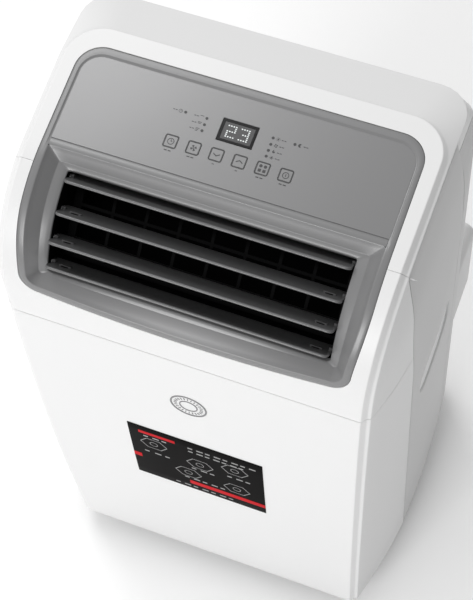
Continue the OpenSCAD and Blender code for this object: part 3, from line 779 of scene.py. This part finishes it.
def upper_front_frame():
    sheet = Sheet()
    upper_ring(sheet)
    rows = [front_row(s) for kind, s in edge_samples() if kind == "beside" and s < SEAM_S]
    sheet.grid(rows + [front_row(SEAM_S - 0.01)])
    at, along = face(SEAM_S - DECK_GAP / 2)
    sheet.cut((0, at.x, at.y), (0, along.x, along.y), keep_above=False)
    sheet.cut((0, 0, SEAM_Z + GAP / 2), (0, 0, 1))
    sheet.mirror()
    obj = sheet.object("front_frame", CORE, WALL, EDGE)
    place(obj, "casing", "white_shell", "upper_front_frame")


TOP_SKIRT_Z = 643.3


def outline_of(node):
    """Returns a function that gives the outer point of a CAD node at the skirt's height."""
    mesh = frame["nodes"][node].data
    tree = BVHTree.FromPolygons([v.co.copy() for v in mesh.vertices], [p.vertices[:] for p in mesh.polygons])
    back = ROW.inverted()

    def foot(x, y):
        middle = Vector((0, 200, TOP_SKIRT_Z + 0.5))
        away = (Vector((x, y, middle.z)) - middle).normalized()
        start = ROW @ (middle + away * 400)
        hit = tree.ray_cast(start, -away, 1.0)[0]
        found = back @ hit
        return Vector((found.x, found.y, TOP_SKIRT_Z))

    return foot


def top_cover():
    sheet = Sheet()
    upper_ring(sheet)
    sheet.grid([BAND_ROWS[kind](v) for kind, v in edge_samples() if kind != "beside" or v > SEAM_S - 15])
    rims = [rim_behind(t) for t in spread(0, 1, COUNTS[3])]
    wall = []
    for a, b in zip(rims, rims[1:]):
        if a.y < REAR_SEAM_Y < b.y:
            wall.append(a.lerp(b, (REAR_SEAM_Y - a.y) / (b.y - a.y)))
        if b.y > REAR_SEAM_Y:
            wall.append(b)
    rim = rims[-1]
    wall += [Vector((rim.x * (1 - t), rim.y, rim.z)) for t in spread(0, 1, COUNTS[4])[1:]]
    rows = []
    skirt = outline_of("top_cover")
    for p in wall:
        foot = skirt(p.x, p.y)
        top = Vector((p.x, p.y, p.z - 1.0))
        rows.append([top, mix(top, foot, 0.5), foot])
    sheet.grid(rows)
    at, along = face(SEAM_S + DECK_GAP / 2)
    sheet.cut((0, at.x, at.y), (0, along.x, along.y))
    sheet.mirror()
    obj = sheet.object("deck_cover", (0, 200, 500), WALL, EDGE)
    place(obj, "casing", "white_shell", "top_cover")


# Hand hold sunk into each side
HOLD_AT = Vector((184, 382))
HOLD_W, HOLD_H, HOLD_R = 96, 54, 18
HOLD_FLOOR = 166
HOLD_WALL = [(0.5, 0.15), (1.2, 0.8), (1.6, 2.0), (2.4, 10), (3.4, 20), (5, 25.5), (7.5, 27.4), (11, 28)]
HOLD_SPLIT = 9
HOLD_BAND = (322, 442)
PANEL_COLUMNS = 16
PANEL_SIDE = 8


def side_point(u, z):
    y = mix(seam_y(z) + SIDE_GAP / 2, REAR_SEAM_Y - SIDE_GAP / 2, u)
    return Vector((side_x(y, z), y, z))


def side_panel(sign):
    sheet = Sheet()
    us = spread(0, 1, PANEL_COLUMNS)
    low, high = HOLD_BAND
    sheet.grid([[side_point(u, z) for u in us] for z in spread(0, low, 16)])
    tops = [rim_at(side_point(u, 660).y).z - 1.5 for u in us]
    sheet.grid([[side_point(u, mix(high, top, v)) for u, top in zip(us, tops)] for v in spread(0, 1, 16)])
    outer = [side_point(u, low) for u in us]
    outer += [side_point(1, z) for z in spread(low, high, PANEL_SIDE)[1:]]
    outer += [side_point(u, high) for u in reversed(us[:-1])]
    outer += [side_point(0, z) for z in spread(high, low, PANEL_SIDE)[1:-1]]
    rings = hold_rings(outer)
    sheet.grid(rings[:HOLD_SPLIT], closed=True)
    cup = Sheet()
    cup.grid(rings[HOLD_SPLIT - 1:], closed=True)
    if sign < 0:
        sheet.flip(sheet.everything())
        cup.flip(cup.everything())
    side = "right" if sign > 0 else "left"
    # side_shell is painted darker than the front: painted shade on the side
    place(sheet.object("side_panel_" + side, CORE, WALL, EDGE), "casing", "side_shell", side + "_side_panel")
    # The cup wears the lighter, faintly glowing white: painted light for the lit inside of the hand hold
    place(cup.object("hand_hold_" + side, CORE, 1.5, 0), "casing", "white_shell", look="hold_painted_light")


def hold_rings(outer):
    """Rings from the panel into the hand hold, ending on its floor."""
    stadium = [onto_stadium(p) for p in outer]
    rings = []
    for t in (0, 0.3, 0.6, 0.8, 0.92, 1):
        ring = []
        for p, q in zip(outer, stadium):
            y, z = mix(p.y, q.x, t), mix(p.z, q.y, t)
            ring.append(Vector((side_x(y, z), y, z)))
        rings.append(ring)
    for inset, sink in HOLD_WALL:
        ring = []
        for q in stadium:
            at = q + (HOLD_AT - q).normalized() * inset
            x = max(side_x(q.x, q.y) - sink, HOLD_FLOOR + (HOLD_WALL[-1][1] - sink) * 0.2)
            ring.append(Vector((x, at.x, at.y)))
        rings.append(ring)
    for share in (0.5, 0.02):
        ring = []
        for q in stadium:
            ring.append(Vector((HOLD_FLOOR, mix(HOLD_AT.x, q.x, share), mix(HOLD_AT.y, q.y, share * 0.8))))
        rings.append(ring)
    return rings


def onto_stadium(p):
    """The point of the hand hold's outline in the direction of a point of the panel."""
    half_w, half_h = HOLD_W / 2, HOLD_H / 2
    at = Vector((p.y, p.z)) - HOLD_AT
    at *= min(half_w / max(abs(at.x), 1e-6), half_h / max(abs(at.y), 1e-6))
    corner = Vector((math.copysign(half_w - HOLD_R, at.x), math.copysign(half_h - HOLD_R, at.y)))
    if abs(at.x) > abs(corner.x) and abs(at.y) > abs(corner.y):
        return HOLD_AT + corner + (at - corner).normalized() * HOLD_R
    return HOLD_AT + at


# ---------------------------------------------------------------- outlet bezel

# Depth across the rim of the bezel, beside the control panel and beside the outlet
GROOVE = [(0, 3.6), (0, 0.8), (0.03, 0.3), (0.1, 0.05), (0.5, 0.05), (0.58, 0.1), (0.63, 0.05), (0.68, 0.2),
          (0.74, 0.6), (0.84, 0.85), (0.92, 0.95), (1, 1.0)]
LIP = [3.6, 0.8, 0.3] + [0.05] * 7 + [0.1, 0.3]
PANEL_HALF = [(s, half - 6.8) for s, half in BEZEL_HALF]
PANEL_TOP = 808.3
BAR = (715.6, 722.6)
INNER_HALF, INNER_TOP, INNER_DEPTH = 144.2, 706.5, 10.4
OPENING_HALF, OPENING_TOP, OPENING_LOW = 134.4, 701, 588.4
RECESS_TOP_R, RECESS_LOW_R, INNER_LOW_R = 2.0, 13.5, 4


def inner_half(s):
    return INNER_HALF - 0.4 * (spline(PANEL_HALF, 660) - spline(PANEL_HALF, s))


def inner_low(x):
    return 583.5 + 2.0 * (x / 110) ** 2


def ledge_low(x):
    return 569.6 + 5.2 * (x / 110) ** 2


def recess_loop(half, top, low, low_r, depth):
    """A closed loop round the sunk outlet, at one depth."""
    arc_s = low(half(600) - low_r) + low_r
    points = [(x, top) for x in spread(0, half(top) - RECESS_TOP_R, 16)]
    for turn in spread(math.pi / 2, 0, 4)[1:]:
        points.append(on_circle(half(top) - RECESS_TOP_R, top - RECESS_TOP_R, RECESS_TOP_R, turn))
    points += [(half(s), s) for s in spread(top - RECESS_TOP_R, arc_s, 30)[1:]]
    arc_x = half(arc_s) - low_r
    foot = low(arc_x)
    for t in spread(0, 1, 12)[1:]:
        turn = -t * math.pi / 2
        points.append((arc_x + low_r * math.cos(turn), arc_s + (arc_s - foot) * math.sin(turn)))
    points += [(x, low(x)) for x in spread(arc_x, 0, 18)[1:]]
    right = [skin(x, s, depth) for x, s in points]
    left = [Vector((-p.x, p.y, p.z)) for p in reversed(right[1:-1])]
    return right + left


def bezel_rim(sheet):
    """The rim between the white face and the control panel or the outlet."""
    outer = bezel_loop(0)
    inner = bezel_loop(0, ledge_low, PANEL_HALF, PANEL_TOP, 19.5, RECESS_LOW_R)
    rows = []
    for (t, groove), lip in zip(GROOVE, LIP):
        row = []
        for a, b in zip(outer, inner):
            s = mix(a[1], b[1], t)
            row.append(skin(mix(a[0], b[0], t), s, mix(lip, groove, smooth((s - 712) / 14))))
        rows.append(row)
    sheet.grid(rows)


def bezel_bar(sheet):
    """The narrow bar between the control panel and the outlet."""
    low, high = BAR
    steps = [(high, 1.0), (high - 0.1, 0.8), (high - 0.8, 0.35)]
    steps += [((low + high) / 2, 0.2), (low + 0.4, 0.15), (low, 0.3)]
    sheet.grid([[skin(x, s, d) for x in spread(0, PANEL_HALF[-1][1], 12)] for s, d in steps])


def outlet_bezel():
    sheet = Sheet()
    bezel_rim(sheet)
    bezel_bar(sheet)
    sheet.mirror()
    loops = []
    for t in (0, 0.03, 0.06, 0.35, 0.65, 0.94, 0.98, 1):
        depth = 0.3 + (INNER_DEPTH - 0.3) * mix(t * t, t, smooth(t / 0.06))
        loops.append(recess_loop(
            lambda s: mix(spline(PANEL_HALF, s), inner_half(s), t), mix(BAR[0], INNER_TOP, t),
            lambda x: mix(ledge_low(x), inner_low(x), t), mix(RECESS_LOW_R, INNER_LOW_R, t), depth,
        ))
    for t, depth in ((0.06, 10.5), (0.5, 11.6), (0.94, 12.7), (1, 13.2), (1, 17)):
        loops.append(recess_loop(
            lambda s: mix(inner_half(s), OPENING_HALF, t), mix(INNER_TOP, OPENING_TOP, t),
            lambda x: mix(inner_low(x), OPENING_LOW, t), INNER_LOW_R, depth,
        ))
    sheet.grid(loops, closed=True)
    obj = sheet.object("outlet_bezel_ring", (0, 120, 400), 1.6, sharp=50)
    place(obj, "casing", "bezel_grey", "outlet_bezel")


# ---------------------------------------------------------------- control panel

def deck_frame(y):
    """A matrix whose x and y lie on the deck at the distance y and whose z leaves it."""
    s = S_FLAT + (y - FLAT_START.x) / math.cos(DECK_SLOPE)
    at = skin(0, s)
    return Matrix.Translation(at) @ Matrix.Rotation(DECK_SLOPE, 4, "X")


KEYS = ("timer", "fan", "down", "up", "mode", "power")
KEY_W = 12.0
PANEL_SINK = 0.7
PANEL_BASE_Y = 151.6
PANEL_DEPTH = 87.0
PANEL_CORNER = 19.2
PLATE_HALF = 156.2
PLATE_THICK = 2.2


def raised(height):
    return Matrix.Translation((0, 0, height))


def panel_at(x, y):
    """A matrix on the control panel at (x, y)."""
    return deck_frame(y) @ Matrix.Translation((x, 0, -PANEL_SINK))


def node_centre(node):
    low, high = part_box(node)
    mid = (low + high) / 2
    return mid.x / MM, mid.y / MM + HALF_DEPTH


def control_panel():
    base = panel_at(0, PANEL_BASE_Y) @ raised(-PLATE_THICK / 2)
    outline = [(-PLATE_HALF, 0), (PLATE_HALF, 0)]
    for x, start in ((PLATE_HALF - PANEL_CORNER, 0), (PANEL_CORNER - PLATE_HALF, 1)):
        for t in spread(start, start + 1, 16):
            outline.append(on_circle(x, PANEL_DEPTH - PANEL_CORNER, PANEL_CORNER, t * math.pi / 2))
    outlines = [outline]
    for name in KEYS:
        x, y = node_centre("key_" + name)
        outlines.append(rounded_loop(KEY_W / 2 + 0.2, KEY_W / 2 + 0.2, 2.0, centre=(x, along_deck(y))))
    x, y = node_centre("display_window")
    outlines.append(rounded_loop(16.75, 10.95, 0.5, 3, centre=(x, along_deck(y))))
    obj = plate("control_plate", outlines, PLATE_THICK, 0.25, base)
    place(obj, "casing", "panel_grey", "control_panel")


def along_deck(y):
    return (y - PANEL_BASE_Y) / math.cos(DECK_SLOPE)


def stroke(a, b, width):
    """Outline of a straight stroke from a to b."""
    a, b = Vector(a), Vector(b)
    side = (b - a).normalized().orthogonal() * width / 2
    return [a + side, b + side, b - side, a - side]


def ring(outer, inner, count=32):
    """A ring, as a shape with a hole."""
    return [ring_loop(outer, count), ring_loop(inner, count)]


def at_angle(radius, degrees):
    return Vector(on_circle(0, 0, radius, math.radians(degrees)))


def wedge(radius, start, stop, inner, steps=6):
    """A sector of a disc, between two angles in degrees."""
    turns = spread(start, stop, steps)
    return [at_angle(radius, t) for t in turns] + [at_angle(inner, t) for t in reversed(turns)]


def vanes(radius, inner):
    """The four blades of a fan sign."""
    return [[wedge(radius, a, a + 50, inner)] for a in (0, 90, 180, 270)]


def arrow(up):
    """A chevron that points up for 1 and down for -1."""
    return [[stroke((side * 3.1, -0.9 * up), (side * -0.2, 1.1 * up), 0.95)] for side in (-1, 1)]


def moved(outline, x, y):
    return [p + Vector((x, y)) for p in outline]


def icon(kind):
    """Shapes of a plain sign, within a circle of radius 3."""
    if kind == "timer":
        return [ring(3.2, 2.5), [stroke((0, 0), (0, 1.9), 0.6)], [stroke((0, 0), (1.4, 0), 0.6)]]
    if kind == "fan":
        return vanes(2.8, 0.7) + [[ring_loop(0.5, 16)]]
    if kind in ("down", "up"):
        return arrow(1 if kind == "up" else -1)
    if kind == "power":
        return [ring(3.1, 2.4), [stroke((0, -1.3), (0, 1.3), 0.7)]]
    dot, square = ring_loop(1.5, 20), rounded_loop(1.4, 1.4, 0.4)
    return [[moved(shape, x, y)] for shape, y in ((dot, 2.1), (square, -2.1)) for x in (-2.1, 2.1)]


def key(name):
    half = KEY_W / 2
    seat = panel_at(*node_centre("key_" + name))
    cap = plate("cap", [rounded_loop(half, half, 1.8)], PLATE_THICK, 0.25, seat @ raised(-PLATE_THICK / 2))
    stem = Sheet()
    stem.rod(Vector((0, 0, -7.4)), Vector((0, 0, -2.0)), 2)
    obj = join("key_cap_" + name, [cap, stem.object("stem", bevel=0.2, matrix=ROW @ seat)])
    place(obj, "key_" + name, "panel_grey", "key_" + name)
    frame_line = [rounded_loop(half - 0.2, half - 0.2, 1.6), rounded_loop(half - 1.0, half - 1.0, 0.8)]
    sign = join("key_sign_" + name, prints([frame_line] + icon(name), seat @ raised(0.02)))
    place(sign, "key_" + name, "panel_grey", look="panel_print")


PRINT_LIFT = 0.03
SPEEDS = ("low", "mid", "high")
LAMPS = [
    (-50.7, 780.9, "clock"), (-30.7, 780.9, "low"), (-30.7, 774.6, "mid"), (-30.7, 768.6, "high"),
    (31, 780.9, "sun"), (31, 774.6, "fan"), (31, 768.6, "drop"), (31, 762.9, "flake"), (51, 780.9, "moon"),
]


def lamp_sign(kind):
    """Shapes of a small sign beside a lamp, within a circle of radius 1.5."""
    if kind == "clock":
        return [ring(1.4, 1.1, 24), [stroke((0, 0), (0, 0.9), 0.25)], [stroke((0, 0), (0.7, 0), 0.25)]]
    if kind in SPEEDS:
        bars = range(SPEEDS.index(kind) + 1)
        return [[stroke((-1.4, 1.0 - k), (1.4 - 0.5 * k, 1.0 - k), 0.4)] for k in bars]
    if kind == "sun":
        return [[ring_loop(0.6, 16)]] + [[wedge(1.5, a - 8, a + 8, 0.9, 1)] for a in range(0, 360, 60)]
    if kind == "fan":
        return vanes(1.4, 0.4)
    if kind == "drop":
        return [[wedge(1.0, 150, 390, 0.0, 16) + [Vector((0, 1.8))]]]
    if kind == "flake":
        return [[stroke(-at_angle(1.4, a), at_angle(1.4, a), 0.3)] for a in (0, 60, 120)]
    return [[wedge(1.4, 60, 300, 0.0, 16)]]


def lamp_seat(x, s):
    """A matrix just above the control panel at (x, s)."""
    return panel_at(x, FLAT_START.x + (s - S_FLAT) * math.cos(DECK_SLOPE)) @ raised(PRINT_LIFT)


def dashes(width, height):
    """Two short strokes in a row, in place of a printed word."""
    return [[stroke((side * width / 2, 0), (side * width * 0.08, 0), height)] for side in (-1, 1)]


def captions():
    """Printed strokes in front of the keys."""
    marks = []
    for name in KEYS:
        below = panel_at(*node_centre("key_" + name)) @ Matrix.Translation((0, -KEY_W / 2 - 2.9, PRINT_LIFT))
        marks += prints(dashes(1.8 if name in ("down", "up") else 6.4, 0.95), below)
    place(join("key_captions", marks), "casing", "display_black", look="panel_print")


def lamps():
    dots, signs = [], []
    for x, s, kind in LAMPS:
        dots.append(plate("dot", [ring_loop(1.35, 24)], 0.3, 0.08, lamp_seat(x, s)))
        aside = -4.6 if x < 0 else 4.8
        signs += prints(lamp_sign(kind), lamp_seat(x + aside, s) @ Matrix.Scale(1.25, 4))
        signs += prints(dashes(4.2, 0.7), lamp_seat(x + 2.1 * aside, s))
    place(join("lamp_dots", dots), "casing", "display_black", "indicator_lamps", look="panel_print")
    place(join("lamp_signs", signs), "casing", "display_black", look="panel_print")


DOT_PITCH = (2.31, 1.75)
DIGIT_ROWS = {
    "2": ("1111", "0001", "0001", "1111", "1000", "1000", "1111"),
    "3": ("1111", "0001", "0001", "0111", "0001", "0001", "1111"),
}


def display():
    seat = panel_at(*node_centre("display_window"))
    outlines = [rounded_loop(16.6, 10.8, 0.4, 3), rounded_loop(14.0, 8.4, 0.4, 3)]
    rim = plate("display_rim", outlines, 1.6, 0.2, seat @ raised(-0.7))
    place(rim, "casing", "display_black", "display_window")
    screen = plate("display_screen", [rounded_loop(14.2, 8.6, 0.3, 3)], 1.2, 0.0, seat @ raised(-0.95))
    place(screen, "casing", "display_black", look="display_screen")
    dots = []
    on_screen = seat @ raised(-0.3)
    for left, digit in ((-9.6, "2"), (2.6, "3")):
        for r, line in enumerate(DIGIT_ROWS[digit]):
            for c in (c for c, on in enumerate(line) if on == "1"):
                centre = (left + c * DOT_PITCH[0], (3 - r) * DOT_PITCH[1])
                dots.append(plate("dot", [rounded_loop(0.7, 0.55, 0.3, 3, centre)], 0.1, 0.0, on_screen))
    place(join("display_digits", dots), "casing", "display_black", look="display_digit")


# ---------------------------------------------------------------- louvre

BLADE_SLOPE = math.radians(48)
BLADE_CHORD = 30
PIVOT_BACK = 20
BLADE_HALF = 133
BLADE_CORNER = 5
BLADE_TAB = 119
CRANK = 10
CRANK_X = 142


def blade_section():
    """Closed outline of a blade in (chord, height): a rounded lip in front, a slight hollow on top."""
    top, low = [], []
    for t in spread(0, 1, 12):
        camber = -1.0 * math.sin(math.pi * t)
        thick = mix(1.35, 0.7, smooth(t * 1.3))
        top.append(Vector((t * BLADE_CHORD, camber + thick)))
        low.append(Vector((t * BLADE_CHORD, camber - thick)))
    front = [at_angle(1.35, a) for a in spread(270, 90, 8)[1:-1]]
    return top + list(reversed(low)) + front


def blade(number, pivot):
    """A blade about its pivot: x along it, y along its chord from the pivot, z out of its top."""
    sheet = Sheet()
    section = blade_section()
    rows = []
    near = BLADE_HALF - BLADE_CORNER
    ends = [near + BLADE_CORNER * math.sin(t * math.pi / 2) for t in spread(0, 1, 6)]
    for x in [-e for e in reversed(ends)] + spread(-near, near, 8)[1:-1] + ends:
        set_in = BLADE_CORNER - math.sqrt(max(BLADE_CORNER ** 2 - max(abs(x) - near, 0) ** 2, 0))
        keep = 1 - set_in / BLADE_CHORD
        rows.append([Vector((x, set_in + p.x * keep - PIVOT_BACK, p.y)) for p in section])
    sheet.prism(rows)
    for side in (-1, 1):
        tab = BLADE_TAB * side
        if number > 1:
            sheet.box((tab - 5.5, -6, -0.4), (tab + 5.5, -2.5, 1.1))
        sheet.box((side * 131.5 - 1.5, -3, -2.4), (side * 131.5 + 1.5, 3, 2.4))
    sheet.rod(Vector((-CRANK_X, 0, 0)), Vector((-BLADE_HALF + 1, 0, 0)), 2)
    sheet.rod(Vector((BLADE_HALF - 1, 0, 0)), Vector((139.5, 0, 0)), 2)
    sheet.box((-CRANK_X, 0, -2.5), (2 - CRANK_X, CRANK, 2.5))
    sheet.rod(Vector((-4 - CRANK_X, CRANK, 0)), Vector((1.8 - CRANK_X, CRANK, 0)), 1.5)
    seat = Matrix.Translation(pivot) @ Matrix.Rotation(-BLADE_SLOPE, 4, "X") @ Matrix.Scale(MM, 4)
    obj = sheet.object("blade_%d" % number, bevel=0.25, matrix=seat)
    place(obj, "louvre_%d" % number, "blade_grey", "louvre_blade_%d" % number)
    if number > 1:
        # Near-black strips just in front of the tabs: painted shade in place of open slots, which are not cut
        slot_shade = Sheet()
        for tab in (-BLADE_TAB, BLADE_TAB):
            slot_shade.box((tab - 3.5, -8.2, -0.4), (tab + 3.5, -6.2, 0.42))
        dark = slot_shade.object("blade_slots_%d" % number, bevel=0.1, matrix=seat)
        place(dark, "louvre_%d" % number, "blade_grey", look="duct_black")


def blades():
    joints = {joint["name"]: joint for joint in frame["joints"]}
    for number in (1, 2, 3, 4):
        blade(number, Vector(joints["louvre_%d_swing" % number]["pos_m"]))


# ---------------------------------------------------------------- badge and label

def face_frame(s):
    """A matrix whose x and y lie on the bowed face at s and whose z leaves it."""
    at, along = face(s)
    turn = math.atan2(along.y, along.x)
    return Matrix.Translation((0, at.x, at.y)) @ Matrix.Rotation(turn, 4, "X")


BADGE_S = 438
LABEL_S = 287


def badge():
    """Two rings with a circle of ticks between them."""
    seat = face_frame(BADGE_S)
    lift = raised(0.2)
    rings = [plate("ring", ring(*radii, 72), 0.7, 0.2, seat @ lift) for radii in ((19, 17.2), (9.5, 8.3))]
    for turn in spread(0, 2 * math.pi, 24)[:-1]:
        spoke = seat @ Matrix.Rotation(turn, 4, "Z") @ lift
        rings.append(plate("tick", [stroke((0, 12), (0, 15.2), 0.9)], 0.5, 0.1, spoke))
    place(join("badge_ring", rings), "casing", "badge_metal", "front_badge")


LABEL_W, LABEL_H = 146, 129
DASH_ROWS = [(30, 48, 76), (24, 40, 64), (-42, 42, 30), (-42, 3, 34), (8, -3, 30), (48, 8, 30), (8, -34, 50),
             (6, -57, 70)]


def label_sheet(name, left, right, low, high, lift, look, *nodes):
    """A rectangle laid on the bowed face."""
    sheet = Sheet()
    levels = spread(LABEL_S + low, LABEL_S + high, 8)
    sheet.grid([[skin(x, s, -lift) for x in spread(left, right, 4)] for s in levels])
    place(sheet.object(name, CORE, 0.35, 0.08), "casing", "label_black", *nodes, look=look)


def label():
    """A dark sheet with red bars, empty hexagons and rows of dashes."""
    half_w, half_h = LABEL_W / 2, LABEL_H / 2
    label_sheet("label_sheet", -half_w, half_w, -half_h, half_h, 0.5, "label_black", "front_label")
    label_sheet("label_band", -12, half_w, -50, -41, 0.56, "label_red")
    label_sheet("label_mark", -half_w, -half_w + 9, -19, -10, 0.56, "label_red")
    label_sheet("label_head", -62, -22, 47, 53, 0.56, "label_red")
    signs = []
    corners = ((15, 0), (7.5, 11), (-7.5, 11), (-15, 0), (-7.5, -11), (7.5, -11))
    hexagon = [Vector(corner) for corner in corners]
    for x, y in ((-47, 26), (3, 12), (-12, -20), (42, -22), (42, 28)):
        signs += prints([[hexagon, [p * 0.94 for p in hexagon]], ring(4.5, 3.9)], label_seat(x, y))
    for x, y, width in DASH_ROWS:
        for k, t in enumerate(spread(-0.5, 0.5, max(2, int(width / 9)))[:-1]):
            dash = stroke((t * width, 0), (t * width + 5 + 2 * (k % 2), 0), 2.2)
            signs += prints([[dash]], label_seat(x, y))
    place(join("label_signs", signs), "casing", "label_black", look="label_line")


def label_seat(x, y):
    return face_frame(LABEL_S + y) @ Matrix.Translation((x, 0, 0.55))


# ---------------------------------------------------------------- exhaust adaptor

def exhaust_adaptor():
    """A square box with a rounded front edge and a round mouth."""
    low, high = (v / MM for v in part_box("exhaust_adaptor"))
    cx, cz = (low.x + high.x) / 2, (low.z + high.z) / 2 - SKIRT
    half_w, half_h = (high.x - low.x) / 2, (high.z - low.z) / 2
    start, depth = low.y + HALF_DEPTH, high.y + HALF_DEPTH
    mouth = next(m for m in frame["record"]["mounts"] if m["name"] == "exhaust_hose_socket")
    bore = mouth["dims"]["r_mm"]
    per = 12

    def around(loop, y):
        return [Vector((cx + p.x, y, cz + p.y)) for p in loop]

    def rect(inset, y, radius):
        return around(rounded_loop(half_w - inset, half_h - inset, radius, per), y)

    def circle(grow, y):
        return around(ring_loop(bore + grow, 4 * (per + 1), 0.5), y)

    rows = [rect(12, start, 3), rect(1, start, 13), rect(0.2, start + 0.3, 13.8), rect(0, start + 1, 14)]
    rows.append(rect(0, depth - 9, 14))
    for t in spread(0, 1, 6):
        turn = t * math.pi / 2
        rows.append(rect(7 - 7 * math.cos(turn), depth - 7 + 7 * math.sin(turn), 14 - 5 * t))
    rows.append(rect(8, depth, 9))
    rows += [circle(1.6, depth), circle(0.5, depth - 0.4), circle(0, depth - 1.6), circle(0, REAR_Y + 0.5)]
    sheet = Sheet()
    sheet.grid(rows, closed=True)
    place(sheet.object("exhaust_socket", sharp=45), "casing", "rear_trim", "exhaust_adaptor")


# ---------------------------------------------------------------- stage

def floor_and_light():
    bpy.context.scene.view_settings.view_transform = "Standard"
    bpy.ops.mesh.primitive_plane_add(size=14, location=(0, 0, 0))
    floor = bpy.context.active_object
    floor.name = "floor"
    paper = Paint("floor_paper")
    paper.set(Base_Color=(0.93, 0.93, 0.93, 1), Roughness=0.9, Specular_IOR_Level=0.1)
    paper.set(Emission_Color=(1, 1, 1, 1), Emission_Strength=0.06)
    floor.data.materials.append(paper.material)
    studio_world()
    softbox("key_light", (-0.5, -2.75, 1.65), (0, 0, 0.35), 1.3, 44)
    softbox("gloss_light", (-1.0, 0.93, 2.47), (0, 0, 0.6), 1.0, 16)


def studio_world():
    """Pale surround, brighter on the side of the key light."""
    world = bpy.data.worlds.new("studio")
    bpy.context.scene.world = world
    world.use_nodes = True
    nodes, links = world.node_tree.nodes, world.node_tree.links
    place_at = nodes.new("ShaderNodeTexCoord")
    across = nodes.new("ShaderNodeVectorMath")
    across.operation = "DOT_PRODUCT"
    across.inputs[1].default_value = (-0.6, 0.25, 0.76)
    links.new(place_at.outputs["Generated"], across.inputs[0])
    level = nodes.new("ShaderNodeMapRange")
    level.inputs["From Min"].default_value = -0.84
    level.inputs["To Min"].default_value = 0.0
    level.inputs["To Max"].default_value = 0.93
    links.new(across.outputs["Value"], level.inputs["Value"])
    nodes["Background"].inputs["Color"].default_value = (1, 1, 1, 1)
    links.new(level.outputs["Result"], nodes["Background"].inputs["Strength"])


def softbox(name, at, target, size, power):
    data = bpy.data.lights.new(name, "AREA")
    data.shape = "SQUARE"
    data.size = size
    data.energy = power
    light = add_object(name, data)
    light.location = at
    light.rotation_euler = (Vector(at) - Vector(target)).to_track_quat("Z", "Y").to_euler()


make_camera()
dress_cad_nodes()
lower_front_panel()
upper_front_frame()
top_cover()
side_panel(1)
side_panel(-1)
outlet_bezel()
control_panel()
for key_name in KEYS:
    key(key_name)
captions()
lamps()
display()
blades()
badge()
label()
exhaust_adaptor()
floor_and_light()
